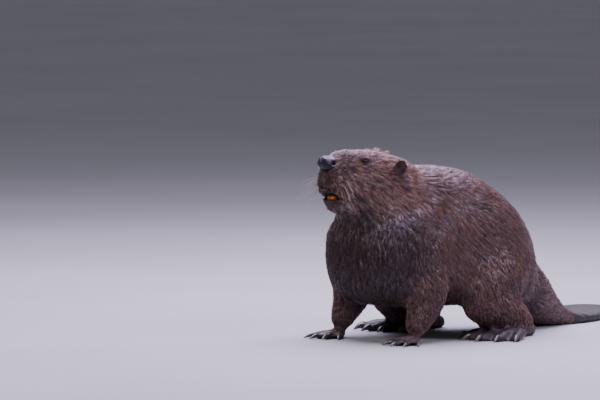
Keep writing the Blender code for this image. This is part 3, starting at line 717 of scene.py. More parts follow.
# Tints of what wet fur and the nose give back of a cold sky.
FUR_SHEEN = (0.78, 0.66, 1.0, 1)
FUR_GLOSS = (0.86, 0.76, 1.0, 1)
FUR_FILM = (1.0, 0.96, 1.0, 1)
NOSE_GLOSS = (0.78, 0.76, 1.0, 1)
MARK_STRENGTH = 0.85


def coat_colour(paint):
    """The markings and painted shade, as skin and coat share them."""
    colour = paint.mix(paint.mottled(38.0, 0.0, 1.0, 0.35, 0.68), UMBER, BROWN)
    for name, own in (("rust", RUST), ("pale", BUFF), ("dark", BLACK_BROWN)):
        colour = paint.marked(name, MARK_STRENGTH, colour, own)
    return colour


def fur_material():
    """Wet locks: darker at their roots as painted shade in the coat's depths, lighter on the crests of clumps
    as painted highlight, and each a little different.
    """
    paint = Paint(
        "fur", 0.38, Specular_IOR_Level=0.45, Coat_Weight=0.48, Coat_Roughness=0.15,
        Sheen_Weight=0.06, Sheen_Roughness=0.35, Sheen_Tint=FUR_SHEEN,
        Specular_Tint=FUR_GLOSS, Coat_Tint=FUR_FILM,
    )
    # Lighter tones lean to tan; among them are the clump crests, a painted highlight.
    colour = paint.mix(paint.span(paint.mark("tone_value"), 0.0, 0.50, 0.60, 1.0), coat_colour(paint), TAN)
    # Painted shade: each lock is darker towards its root and lighter towards its tip.
    shade = paint.span(paint.mark("along"), 0.32, 1.35)
    # Each lock's own random tone, with the painted highlight on clump crests and the painted shade at clump
    # edges, scales its brightness.
    shade = paint.times(shade, paint.span(paint.mark("tone_value"), 0.15, 2.30))
    tone = paint.node("CombineColor", Red=shade, Green=shade, Blue=shade).outputs["Color"]
    colour = paint.mix(1.0, colour, tone, "MULTIPLY")
    return paint.finish(colour, (paint.noise(1400.0, 2.0), 0.25, 0.0003), (55.0, 0.20, 0.42))


def skin_material():
    """Fur's colours under the coat, darkened as painted shade between the locks, and wrinkled black skin
    where it is bare.
    """
    paint = Paint("skin", 0.5, Specular_IOR_Level=0.22)
    # Painted shade: the skin under the coat is darkened, so the gaps between locks look shaded.
    covered = paint.mix(0.45, coat_colour(paint), BLACK_BROWN)
    bare = paint.mix(paint.mottled(160.0, 0.0, 1.0, 0.35, 0.7, detail=5.0), *BARE_SKIN)
    # Darker where marked dark: the lips' and eyelids' own colour, and painted shade in the mouth line and
    # under the nose.
    bare = paint.marked("dark", 0.8, bare, BARE_SKIN_DARK)
    wrinkles = paint.times(paint.creases(520.0, 0.3), paint.span(paint.noise(60.0), 0.2, 1.0))
    colour = paint.mix(paint.mark("bare"), covered, bare)
    return paint.finish(colour, (wrinkles, 0.35, 0.0004), (90.0, 0.36, 0.62))


def nose_material():
    """Wet wrinkled leather, dark with a sheen."""
    paint = Paint(
        "nose_leather", 0.3, Specular_IOR_Level=0.18, Specular_Tint=NOSE_GLOSS,
        Coat_Weight=0.11, Coat_Roughness=0.08,
    )
    leather = paint.mix(paint.mottled(210.0, 0.0, 1.0, detail=4.0), *LEATHER)
    # Darker where marked dark: painted shade in the nostrils and under the pad.
    leather = paint.marked("dark", 0.9, leather, LEATHER_DARK)
    grain = paint.times(paint.creases(1100.0, 0.35), paint.noise(130.0, 5.0))
    return paint.finish(leather, (grain, 0.32, 0.0005), (160.0, 0.16, 0.34))


def scale_material():
    paint = Paint("tail_scales", 0.42, Specular_IOR_Level=0.35, Coat_Weight=0.08, Coat_Roughness=0.25)
    stain = paint.mottled(70.0, 0.0, 0.6, 0.4, 0.7, detail=4.0)
    colour = paint.mix(stain, paint.mix(paint.mark("tone_value"), *SCALES), SCALE_STAIN)
    return paint.finish(colour, (paint.noise(900.0, 4.0), 0.4, 0.0004), (150.0, 0.32, 0.55))


def claw_material():
    paint = Paint("claw_horn", 0.33, Specular_IOR_Level=0.5, Coat_Weight=0.15, Coat_Roughness=0.2)
    stain = paint.mottled(300.0, 0.0, 0.7, 0.4, 0.7, detail=4.0)
    horn = paint.mix(paint.span(paint.mark("along"), 0.0, 1.0, 0.3, 1.0), *HORN)
    return paint.finish(paint.mix(stain, horn, HORN_STAIN), (paint.noise(700.0), 0.3, 0.0003))


def tooth_material():
    paint = Paint("orange_enamel", 0.22, Specular_IOR_Level=0.55, Coat_Weight=0.5, Coat_Roughness=0.08)
    worn = paint.mottled(260.0, 0.0, 1.0, 0.35, 0.7, detail=4.0)
    return paint.finish(paint.mix(worn, *ENAMEL), (paint.noise(420.0, 2.0), 0.15, 0.0003))


def eye_material():
    paint = Paint("eye_gloss", 0.06, Specular_IOR_Level=0.25, Coat_Weight=0.15, Coat_Roughness=0.03)
    return paint.finish(paint.mix(paint.mottled(420.0, 0.0, 1.0, 0.4), *EYE_BLACK))


def whisker_material():
    paint = Paint("whisker", 0.35, Specular_IOR_Level=0.5)
    return paint.finish(paint.mix(paint.mark("along"), *WHISKER), rough=(300.0, 0.28, 0.45))


def floor_material():
    paint = Paint("floor_pale", 0.85)
    return paint.finish(paint.mix(paint.mottled(1.5, 0.0, 1.0), *FLOOR))


# ---------------------------------------------------------------- meshes and arrays
def tree_of(points, triangles):
    return BVHTree.FromPolygons(points.tolist(), triangles.tolist())


def nearest(tree, points):
    """The nearest places on a tree's mesh, with their normals and triangles."""
    found = zip(*(tree.find_nearest(Vector(point)) for point in points))
    return tuple(np.array(column) for column in found)[:3]


def mesh_from(name, points, faces, corner_uvs=None, values=None):
    """faces: triangles or quads as one array. values: numbers at each point, by name."""
    sides = faces.shape[1]
    mesh = bpy.data.meshes.new(name)
    mesh.vertices.add(len(points))
    mesh.vertices.foreach_set("co", points.astype(np.float32).ravel())
    mesh.loops.add(faces.size)
    mesh.loops.foreach_set("vertex_index", faces.astype(np.int32).ravel())
    mesh.polygons.add(len(faces))
    mesh.polygons.foreach_set("loop_start", np.arange(len(faces), dtype=np.int32) * sides)
    mesh.polygons.foreach_set("use_smooth", np.ones(len(faces), bool))
    if corner_uvs is not None:
        layer = mesh.uv_layers.new(name="OFBake", do_init=False)
        layer.uv.foreach_set("vector", corner_uvs.astype(np.float32).ravel())
    keep_values(mesh, values or {})
    mesh.update(calc_edges=True)
    mesh.validate()
    return mesh


def keep_values(mesh, values):
    for key, numbers in values.items():
        attribute = mesh.attributes.new(key, "FLOAT", "POINT")
        attribute.data.foreach_set("value", numbers.astype(np.float32))


def piece(mesh, name, material):
    obj = object_of(mesh, name)
    mesh.materials.clear()
    mesh.materials.append(material)
    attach(obj, "root")
    return obj


# ---------------------------------------------------------------- locks of hair
LOCK_STOPS = (0.0, 0.36, 0.72, 1.0)  # shares of a lock's length: its rings, then its tip
LOCK_WIDTHS = (0.70, 1.00, 0.66)  # of the rings, in widths of the lock
LOCK_LIFTS = (0.0, 0.62, 0.95, 1.0)  # shares of its height over the skin
STAND_LIFTS = (0.0, 0.20, 0.60, 1.0)  # the same where a wet clump stands up
CLUMP_PULLS = (0.0, 0.30, 0.75, 1.0)  # how far each is drawn to the leader's
LOCK_SIDES = 3
LOCK_THICKNESS = 1.1  # in half widths
PATCH = 0.003  # side of a lock's square on the UV map
MOST_LOCKS = 12000  # in one piece, of 16 triangles each
ROOT_SINK = 0.0006
LOWEST_HAIR = 0.0003  # over the floor
# Chance spreads of length, width and rise.
SPREADS = {"length": (0.65, 1.25), "width": (0.55, 1.35), "rise": (0.40, 1.0)}
SWAY = 0.14
SQUARE_MM = 1e6  # in a square metre
MM = 1e-3
LEAST_EACH = 0.1  # square millimetres
LEAST_GROUND = 0.5
# The shares that even the shortest locks keep.
LENGTH_KEPT = 0.4
WIDTH_KEPT = 0.35
DEPTH_KEPT = 0.6
# Where locks are shorter: by what share, and over which places along or up the head.
MUZZLE_SHORTER = (0.72, 0.095, 0.150)
CROWN_SHORTER = (0.30, 0.030, 0.050)
EAR_FRONT_SHORTER = 0.55
EAR_FRONT = ((0.0515, 0.056, 0.0235), (0.016, 0.020, 0.020))
GUARD_SHARE = 0.06  # long guard hairs, of all locks
GUARD_LENGTH = 1.55
GUARD_RISE = 1.1
GUARD_PALER = 0.22
CLUMP_SIZE = 9  # locks that share one wet point
HEAD_CLUMP_SIZE = 15
# Each pair: the values between which a lock's part in its clump grows.
CLUMP_ALIKE = (0.3, 0.7)  # product of its normal with the leader's
CLUMP_REACH = (1.6, 1.0)  # distance from the leader, in sides of the clump's ground
CREST_REACH = (0.75, 0.0)
LOT_SHARES = (0.45, 0.25, 0.30)  # of a lock's tone: its own, its leader's, and how near it is to the leader, which paints each clump's crest lighter and its edges darker as painted highlight and painted shade
CONTRASTS = (0.50, 1.20)  # of the tones on the body, and how much more on the head
CREST_RISE = (0.72, 0.50)
HALVINGS = 2
PART_SHARE = 0.35  # above this share a place counts as part of a node
BARE_SHARE = 0.45  # above this share it has no locks
EYE_CLEAR = 1.12  # rings round an eye's opening that no lock enters
EAR_CLEAR = (0.0125, 0.0125, 0.0155)  # radii round an ear's middle that no lock enters
CROWN_BALL = ((0.040, 0.000, 0.050), (0.036, 0.040, 0.020))  # where wet clumps stand up
CROWN_SHARE = 0.10
CROWN_HEIGHT = (0.004, 0.013)
MOUTH_HOLE = ((0.1475, 0.0, -0.0188), (0.030, 0.0300, 0.0068))  # and the bare rims of the lips
TOES = (-0.085, 0.148)  # hind and fore toes lie forward of these, and stay bare
HIND_FORE_BORDER = 0.04
SOLE_HEIGHT = 0.006


def keeping(share, amount):
    """From this share to 1, as the amount goes from 0 to 1."""
    return share + (1 - share) * amount


class Locks:
    """Where each lock grows and how it lies."""

    def __init__(self, surface, tree):
        self.surface = surface
        self.tree = tree
        self.face_flow = unit(lie_of_coat(surface)[surface.triangles].sum(1))
        self.plant()
        self.dress()
        self.lay()
        self.draw_together()
        self.keep_off()

    def plant(self):
        """Roots scattered over the skin, closest on the face and feet."""
        surface = self.surface
        each = ground_per_lock(surface)
        face_each = each[surface.triangles].mean(1)
        chance = np.where(face_each > 0, surface.areas * SQUARE_MM / np.maximum(face_each, LEAST_EACH), 0)
        total = chance.cumsum()
        count = int(total[-1])
        picks = (np.arange(count) + CHANCE.random(count)) / count * total[-1]
        self.faces = np.minimum(np.searchsorted(total, picks), len(chance) - 1)
        a, b = CHANCE.random((2, count))
        a, b = np.where(a + b > 1, 1 - a, a), np.where(a + b > 1, 1 - b, b)
        self.mixes = np.stack([1 - a - b, a, b], axis=1)
        self.roots = self.at_roots(surface.points)
        self.ground = self.at_roots(np.maximum(each, LEAST_GROUND))

    def at_roots(self, values):
        """Values of the skin's points, at the roots."""
        corners = values[self.surface.triangles[self.faces]]
        mixes = self.mixes.reshape(self.mixes.shape + (1,) * (corners.ndim - 2))
        return (corners * mixes).sum(1)

    def dress(self):
        """Sizes and markings of each lock."""
        surface, count = self.surface, len(self.roots)
        worn = {field: self.at_roots(coat_value(surface, field)) for field in Coat._fields}
        head = to_head(self.roots)
        self.on_head = self.at_roots(share_of(surface, HEAD_NODES))
        share, *places = MUZZLE_SHORTER
        short = 1 - self.on_head * (share * ramp(*places, head[:, 0]))
        share, *places = CROWN_SHORTER
        short *= 1 - share * self.on_head * ramp(*places, head[:, 2])
        both_sides = np.stack([head[:, 0], np.abs(head[:, 1]), head[:, 2]], axis=1)
        short *= 1 - EAR_FRONT_SHORTER * hill(both_sides, *EAR_FRONT)
        self.length = worn["length"] * short * CHANCE.uniform(*SPREADS["length"], count)
        self.width = worn["width"] * keeping(WIDTH_KEPT, short) * CHANCE.uniform(*SPREADS["width"], count)
        self.depth = self.at_roots(surface.depth) * keeping(DEPTH_KEPT, short)
        self.length *= keeping(LENGTH_KEPT, self.at_roots(thinning(surface.points)))
        self.clump = worn["clump"]
        self.rise = worn["rise"] * CHANCE.uniform(*SPREADS["rise"], count)
        self.tone_value = CHANCE.random(count)
        self.guard = CHANCE.random(count) < GUARD_SHARE
        self.length[self.guard] *= GUARD_LENGTH
        self.rise[self.guard] = np.maximum(self.rise[self.guard], self.rise.mean()) * GUARD_RISE
        self.marks = dict(zip(MARKS, self.at_roots(surface.marks).T))

    def settle(self, points):
        """Nearest places on the skin, with its normals and the coat's lie there."""
        places, normals, faces = nearest(self.tree, points)
        return places, normals, self.face_flow[faces]

    def lay(self):
        """Walks each lock over the skin from its root to its tip."""
        places, normals, flow = self.settle(self.roots)
        sway = np.cross(normals, flow) * CHANCE.normal(0, SWAY, len(places))[:, None]
        self.path, self.ups = [places], [normals]
        for start, end in zip(LOCK_STOPS, LOCK_STOPS[1:]):
            step = unit(flow + sway) * (self.length * (end - start))[:, None]
            places, normals, flow = self.settle(places + step)
            self.path.append(places)
            self.ups.append(unit(normals + self.ups[-1]))

    def draw_together(self):
        """Pulls the locks' outer parts towards a leader's, so that they end in wet points."""
        size = np.where(self.on_head > 0.5, HEAD_CLUMP_SIZE, CLUMP_SIZE)
        leaders = np.flatnonzero(CHANCE.random(len(self.roots)) < 1 / size)
        tree = KDTree(len(leaders))
        for leader in leaders:
            tree.insert(self.roots[leader], leader)
        tree.balance()
        _, leader, away = (np.array(column) for column in zip(*(tree.find(root) for root in self.roots)))
        away /= np.sqrt(self.ground * size) * MM
        alike = ramp(*CLUMP_ALIKE, (self.ups[0] * self.ups[0][leader]).sum(1)) * ramp(*CLUMP_REACH, away)
        for i, strength in enumerate(CLUMP_PULLS):
            pull = (self.clump * strength * alike)[:, None]
            self.path[i] = self.path[i] * (1 - pull) + self.path[i][leader] * pull
        crest = ramp(*CREST_REACH, away)
        self.rise *= CREST_RISE[0] + CREST_RISE[1] * crest
        own, leaders_own, near = LOT_SHARES
        # Locks near their leader lie on the clump's crest and get a lighter tone, those at its edge a darker
        # one: painted highlight and painted shade.
        tone_value = own * self.tone_value + leaders_own * self.tone_value[leader] + near * crest
        tone_value = np.minimum(tone_value + GUARD_PALER * self.guard, 1)
        self.tone_value = np.clip(0.5 + (tone_value - 0.5) * (CONTRASTS[0] + CONTRASTS[1] * self.on_head), 0, 1)
        # Some clumps on the crown stand up and break the outline.
        stands = CHANCE.random(len(self.roots))[leader] < CROWN_SHARE
        self.stand = hill(to_head(self.roots[leader]), *CROWN_BALL) * stands
        self.stand *= CHANCE.uniform(*CROWN_HEIGHT, len(self.roots))[leader]

    def over_bare_places(self):
        """Which locks lie over an eye or an ear."""
        over = np.zeros(len(self.roots), bool)
        off_ears = self.at_roots(share_of(self.surface, EAR_NODES)) < PART_SHARE
        for places in self.path[1:]:
            for side in SIDES:
                over |= seen_from_eye(places, side)[2] < EYE_CLEAR
                from_ear = (places - middle(f"ear_{side}")) @ HEAD_AXES.T
                over |= off_ears & (apart(from_ear, 0.0, EAR_CLEAR) < 1)
        return over

    def keep_off(self):
        """Halves the locks that would hide an eye or an ear, and leaves out those that still would."""
        for _ in range(HALVINGS):
            over = self.over_bare_places()
            for places in self.path[1:]:
                places[over] = (places[over] + self.path[0][over]) / 2
        self.kept = ~self.over_bare_places()

    def meshes(self, unwrap):
        """(points, faces, uvs, values) of all locks, as arrays with a row for each."""
        lift = self.depth * self.rise
        spine = [
            path + up * (lift * level + self.stand * stand)[:, None]
            for path, up, level, stand in zip(self.path, self.ups, LOCK_LIFTS, STAND_LIFTS)
        ]
        spine[0] -= self.ups[0] * ROOT_SINK
        rings = []
        for i, widening in enumerate(LOCK_WIDTHS):
            along = unit(spine[i + 1] - spine[max(i - 1, 0)])
            half = (self.width * widening / 2)[:, None]
            across = unit(np.cross(along, self.ups[i])) * half
            rings += [spine[i] + across, spine[i] + self.ups[i] * half * LOCK_THICKNESS, spine[i] - across]
        points = np.stack(rings + [spine[-1]], axis=1)
        points[:, :, 2] = np.clip(points[:, :, 2], LOWEST_HAIR, CAD_BOX[1].z)
        faces, uvs = lock_pattern()
        count, size = points.shape[:2]
        faces = faces[None] + np.arange(count)[:, None, None] * size
        values = {name: own[:, None].repeat(size, 1) for name, own in {**self.marks, "tone_value": self.tone_value}.items()}
        stops = np.append(np.repeat(LOCK_STOPS[:-1], LOCK_SIDES), LOCK_STOPS[-1])
        values["along"] = np.tile(stops, (count, 1))
        return points, faces, unwrap[:, None, None] + uvs[None] * PATCH, values


def ground_per_lock(surface):
    """Square millimetres of skin for each lock, or 0 where the skin stays bare."""
    forward = to_body(surface.points)[:, 0]
    toes = forward > np.where(forward < HIND_FORE_BORDER, *TOES)
    bare = share_of(surface, ("nose", "tail")) > PART_SHARE
    bare |= (surface.bare > BARE_SHARE) | (apart(to_head(surface.points), *MOUTH_HOLE) < 1)
    bare |= (share_of(surface, FOOT_NODES) > 0.5) & ((surface.points[:, 2] < SOLE_HEIGHT) | toes)
    return np.where(bare, 0, coat_value(surface, "each"))


def lock_pattern():
    """Triangles of one lock, and the place of each corner in its square patch."""
    tip = LOCK_SIDES * len(LOCK_WIDTHS)
    faces, uvs = [], []
    for ring, (low, high) in enumerate(zip(LOCK_STOPS, LOCK_STOPS[1:])):
        for side in range(LOCK_SIDES):
            left, right = side / LOCK_SIDES, (side + 1) / LOCK_SIDES
            a, b = (ring * LOCK_SIDES + i % LOCK_SIDES for i in (side, side + 1))
            c, d = b + LOCK_SIDES, a + LOCK_SIDES
            if d < tip:
                faces += [(a, b, c), (a, c, d)]
                uvs.append(((left, low), (right, low), (right, high)))
                uvs.append(((left, low), (right, high), (left, high)))
            else:
                faces.append((a, b, tip))
                uvs.append(((left, low), (right, low), ((left + right) / 2, high)))
    faces.append((2, 1, 0))
    uvs.append(((0.0, 0.0), (0.1, 0.0), (0.0, 0.1)))
    return np.array(faces)[:, ::-1], np.array(uvs)[:, ::-1]


UNWRAP_FACES = 9000
UNWRAP_ANGLE = math.radians(66)
UNWRAP_MARGIN = 0.004


def unwrap_of_skin(surface):
    """A coarse copy of the skin, unwrapped by its own shape: points, triangles and corners' places."""
    mesh = modified(surface.mesh, "DECIMATE", ratio=UNWRAP_FACES / len(surface.triangles))
    obj = object_of(mesh, "unwrap")
    bpy.context.view_layer.objects.active = obj
    obj.select_set(True)
    bpy.ops.object.mode_set(mode="EDIT")
    bpy.ops.mesh.select_all(action="SELECT")
    bpy.ops.uv.smart_project(angle_limit=UNWRAP_ANGLE, island_margin=UNWRAP_MARGIN)
    bpy.ops.object.mode_set(mode="OBJECT")
    corners = Surface.read(mesh.uv_layers.active.uv, "vector", 2, np.float32).reshape(-1, 3, 2)
    points = Surface.read(mesh.vertices, "co", 3, np.float32)
    triangles = Surface.read(mesh.polygons, "vertices", 3, np.int32)
    bpy.data.objects.remove(obj)
    return points, triangles, corners


def places_on_unwrap(surface, roots):
    """Where each lock's patch lies on the UV map."""
    points, triangles, corners = unwrap_of_skin(surface)
    place, _, face = nearest(tree_of(points, triangles), roots)
    a, b, c = (points[triangles[face, i]] for i in range(3))
    whole = np.linalg.norm(np.cross(b - a, c - a), axis=1)
    parts = [np.linalg.norm(np.cross(q - place, r - place), axis=1) for q, r in ((b, c), (c, a), (a, b))]
    mixes = np.stack(parts, axis=1) / np.maximum(whole, 1e-12)[:, None]
    mixes /= np.maximum(mixes.sum(1, keepdims=True), 1e-12)
    return np.clip((corners[face] * mixes[:, :, None]).sum(1), 0.0, 1 - PATCH)


COAT_PIECES = {
    "face": ("head", "nose", *EAR_NODES),
    "jaw": ("lower_jaw",),
    "neck": ("neck",),
    "trunk": ("trunk",),
    "forelegs": pair("foreleg", "forefoot"),
    "hindlegs": pair("hindleg", "hindfoot"),
    "rump": ("tail_root", "tail"),
}


def make_coat(surface, tree, fur):
    locks = Locks(surface, tree)
    points, faces, uvs, values = locks.meshes(places_on_unwrap(surface, locks.roots))
    owners = surface.owners[surface.triangles[locks.faces, 0]]
    for part, nodes in COAT_PIECES.items():
        mine = np.flatnonzero(np.isin(owners, [FLESH.index(node) for node in nodes]) & locks.kept)
        mine = mine[np.argsort(locks.roots[mine, 1], kind="stable")]
        for number, chosen in enumerate(np.array_split(mine, -(-len(mine) // MOST_LOCKS)), 1):
            own_faces = faces[chosen] - (chosen - np.arange(len(chosen)))[:, None, None] * points.shape[1]
            mesh = mesh_from(
                f"coat_{part}_{number}",
                points[chosen].reshape(-1, 3),
                own_faces.reshape(-1, 3),
                uvs[chosen].reshape(-1, 2),
                {name: numbers[chosen].ravel() for name, numbers in values.items()},
            )
            piece(mesh, mesh.name, fur)


# ---------------------------------------------------------------- the skin as a piece
NOSE_SHARE = 0.45  # from here on the skin is leather
SOLE_NODES = (*FOOT_NODES, "tail")
SOLE_LIFT = 0.0022  # what is lower than this under feet and tail becomes flat
FLOOR_GAP = 0.0004


def flatten_soles(surface):
    """Sets feet and tail flat on the floor."""
    height = surface.points[:, 2]
    soles = (share_of(surface, SOLE_NODES) > 0.5) & (height < SOLE_LIFT)
    surface.points[:, 2] = np.maximum(np.where(soles, FLOOR_GAP, height), FLOOR_GAP)
    surface.refresh()


def make_skin(surface, skin, nose):
    surface.write()
    mesh = surface.mesh
    surface.marks = markings_and_painted_shade(surface)
    keep_values(mesh, dict(zip(MARKS, surface.marks.T)))
    obj = piece(mesh, "skin", skin)
    mesh.materials.append(nose)
    on_nose = share_of(surface, ("nose",))[surface.triangles].mean(1) > NOSE_SHARE
    mesh.polygons.foreach_set("material_index", on_nose.astype(np.int32))
    mesh.polygons.foreach_set("use_smooth", np.ones(len(mesh.polygons), bool))
    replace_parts(obj, *FLESH)


# ---------------------------------------------------------------- tubes: whiskers and claws
def turns(count):
    """Angles of a ring's points."""
    return np.arange(count) / count * 2 * np.pi


def wall_faces(rings, sides):
    """Triangles that join rings of points."""
    faces = []
    for ring in range(rings - 1):
        for i in range(sides):
            a, b = ring * sides + i, ring * sides + (i + 1) % sides
            faces += [(a, b, b + sides), (a, b + sides, a + sides)]
    return faces


def tube_faces(rings, sides):
    """Triangles that join rings of points and close both ends."""
    faces = wall_faces(rings, sides)
    last = (rings - 1) * sides
    for i in range(1, sides - 1):
        faces += [(0, i + 1, i), (last, last + i, last + i + 1)]
    return np.array(faces)


OFF_UPRIGHT = 0.01  # so that a path straight up has a side too


def tube(path, radii, sides, flat=1.0):
    """Points, triangles and shares along a tapered tube."""
    along = unit(np.gradient(path, axis=0))
    side = unit(np.cross(along, UP + OFF_UPRIGHT))
    rise = np.cross(side, along)
    angles = turns(sides)[:, None]
    rings = [
        centre + radius * (np.cos(angles) * across + flat * np.sin(angles) * upward)
        for centre, radius, across, upward in zip(path, radii, side, rise)
    ]
    shares = np.repeat(np.linspace(0, 1, len(path)), sides)
    return np.concatenate(rings), tube_faces(len(path), sides), shares


def piece_of(parts, name, value, material):
    """Several (points, triangles, numbers) as one piece, which keeps the numbers by this name."""
    points, faces, numbers = zip(*parts)
    starts = np.cumsum([0, *map(len, points)])
    faces = np.concatenate([own + start for own, start in zip(faces, starts)])
    points = np.concatenate(points)
    points[:, 2] = np.maximum(points[:, 2], 0.0)
    mesh = mesh_from(name, points, faces, values={value: np.concatenate(numbers)})
    return piece(mesh, name, material)


WHISKER_RADIUS = 0.00038
WHISKER_STEPS = 9
# Rows of whiskers on one side: root, direction and length, with the droop of the tip.
Whiskers = namedtuple("Whiskers", "count first last aim length droop")
WHISKER_ROWS = {
    "right": (
        Whiskers(5, (0.148, 0.018, 0.012), (0.130, 0.031, 0.010), (0.25, 0.95, -0.15), 0.044, 0.012),
        Whiskers(6, (0.147, 0.020, 0.003), (0.129, 0.034, 0.000), (0.30, 0.90, -0.35), 0.046, 0.014),
        Whiskers(5, (0.145, 0.020, -0.005), (0.130, 0.031, -0.008), (0.30, 0.80, -0.50), 0.036, 0.012),
        Whiskers(3, (0.136, 0.012, -0.036), (0.126, 0.020, -0.040), (0.40, 0.75, -0.60), 0.018, 0.006),
    ),
    "left": (
        Whiskers(2, (0.131, 0.033, 0.013), (0.127, 0.034, 0.013), (-0.20, 0.50, -0.60), 0.036, 0.012),
        Whiskers(3, (0.135, 0.033, 0.005), (0.129, 0.036, 0.002), (-0.20, 0.45, -0.75), 0.028, 0.008),
        Whiskers(2, (0.138, 0.030, -0.004), (0.132, 0.033, -0.007), (-0.15, 0.35, -0.90), 0.020, 0.005),
        Whiskers(2, (0.142, 0.006, -0.036), (0.138, 0.010, -0.038), (-0.30, 0.20, -0.90), 0.027, 0.002),
    ),
}
BROW_HAIRS = (
    ((0.112, 0.022, 0.052), (0.10, 0.30, 0.8), 0.014),
    ((0.100, 0.030, 0.050), (-0.10, 0.45, 0.8), 0.012),
)
BROW_DROOP = -0.002
WHISKER_JITTER = 0.10
WHISKER_LENGTHS = (0.7, 1.15)
WHISKER_ROOT = 0.001
WHISKER_TAPER = 0.85


def make_whiskers(tree, material):
    parts = []
    for side, rows in WHISKER_ROWS.items():
        mirror = SIDES[side]
        for row in rows:
            for t in np.linspace(0, 1, row.count):
                place = np.array(row.first) * (1 - t) + np.array(row.last) * t
                parts.append(whisker(tree, place, row.aim, row.length, row.droop, mirror))
    for mirror in SIDES.values():
        for place, aim, length in BROW_HAIRS:
            parts.append(whisker(tree, place, aim, length, BROW_DROOP, mirror))
    piece_of(parts, "whiskers", "along", material)


def whisker(tree, place, aim, length, droop, mirror):
    root = tree.find_nearest(Vector(from_head(mirrored(place, mirror))))[0]
    aim = unit((np.array(mirrored(aim, mirror)) + CHANCE.normal(0, WHISKER_JITTER, 3)) @ HEAD_AXES)
    length = length * CHANCE.uniform(*WHISKER_LENGTHS)
    t = np.linspace(0, 1, WHISKER_STEPS)[:, None]
    path = np.array(root) - aim * WHISKER_ROOT + aim * length * t - UP * droop * t**2
    over = max(path[-1, 2] + WHISKER_RADIUS - CAD_BOX[1].z, 0.0)
    path -= UP * over * t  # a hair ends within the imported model's box
    return tube(path, WHISKER_RADIUS * (1 - WHISKER_TAPER * t[:, 0]), 4)


# Claws: the feet's frames are those of the model's source. toes: degrees from the foot's middle, and
# length past the knuckle. claw: length and half width.
Foot = namedtuple("Foot", "heel turn knuckle toe_radius claw toes")
FEET = (
    Foot(
        (0.112, 0.086), math.radians(6), 0.026, 0.0062, (0.015, 0.0026),
        ((-44, 0.018), (-20, 0.027), (0, 0.031), (20, 0.028), (42, 0.019)),
    ),
    Foot(
        (-0.140, 0.104), math.radians(9), 0.076, 0.0088, (0.015, 0.0036),
        ((-24, 0.052), (-11, 0.066), (1, 0.072), (13, 0.068), (25, 0.056)),
    ),
)
# Along a claw: share of its length past the toe, height in toe radii, half size in claw radii.
CLAW_ARCH = (
    (-0.45, 0.80, 1.10), (-0.15, 0.92, 1.20), (0.15, 0.84, 1.08),
    (0.45, 0.62, 0.84), (0.70, 0.40, 0.54), (0.93, 0.17, 0.16),
)
CLAW_RINGS = 12
CLAW_SIDES = 8
CLAW_DEPTH = 1.1  # in half widths


def claw(foot, angle, length, mirror):
    """One curved claw, deeper than it is wide."""
    claw_length, radius = foot.claw
    turn = (foot.turn + math.radians(angle)) * mirror
    fine = np.linspace(0, len(CLAW_ARCH) - 1, CLAW_RINGS)
    shares, heights, sizes = (np.interp(fine, range(len(CLAW_ARCH)), column) for column in zip(*CLAW_ARCH))
    reach = foot.knuckle + length + claw_length * shares
    heel_forward, heel_left = foot.heel
    path = from_body(np.stack([
        heel_forward + reach * math.cos(turn),
        heel_left * mirror + reach * math.sin(turn),
        np.maximum(heights * foot.toe_radius, sizes * radius * CLAW_DEPTH),
    ], axis=1))
    return tube(path, sizes * radius, CLAW_SIDES, CLAW_DEPTH)


def make_claws(material):
    parts = [
        claw(foot, angle, length, mirror)
        for foot in FEET
        for mirror in SIDES.values()
        for angle, length in foot.toes
    ]
    piece_of(parts, "claws", "along", material)


# ---------------------------------------------------------------- tail scales
SCALE_PITCH = 0.0064
SCALE_ROW = 0.0047  # from one row to the next
SCALE_SHAPE = (0.70, 0.55)  # half length in rows, half width in pitches
SCALE_RINGS = ((1.0, -0.0003), (0.90, 0.0002), (0.55, 0.0005))  # size and height of each
SCALE_TOP = 0.0006
SCALE_TILT = 0.0003
SCALE_CORNERS = 8
SCALE_JITTER = 0.0003
TAIL_BEARING = math.atan2(-0.134, -0.258)  # of the tail's length, seen from above
RAY_START = 0.2


def scale(place, normal, lengthways, tone_value):
    """A rounded plate whose hind edge stands highest."""
    back = unit(lengthways - normal * (lengthways @ normal))
    side = np.cross(normal, back)
    cosines, sines = np.cos(turns(SCALE_CORNERS))[:, None], np.sin(turns(SCALE_CORNERS))[:, None]
    outline = cosines * back * SCALE_ROW * SCALE_SHAPE[0] + sines * side * SCALE_PITCH * SCALE_SHAPE[1]
    rings = [
        place + outline * size + normal * (height + SCALE_TILT * cosines * (size < 1))
        for size, height in SCALE_RINGS
    ]
    points = np.concatenate(rings + [(place + normal * SCALE_TOP)[None]])
    faces = wall_faces(len(rings), SCALE_CORNERS)
    top = len(points) - 1
    last = top - SCALE_CORNERS
    faces += [(last + i, last + (i + 1) % SCALE_CORNERS, top) for i in range(SCALE_CORNERS)]
    faces += [(0, i + 1, i) for i in range(1, SCALE_CORNERS - 1)]
    return points, np.array(faces), np.full(len(points), tone_value)


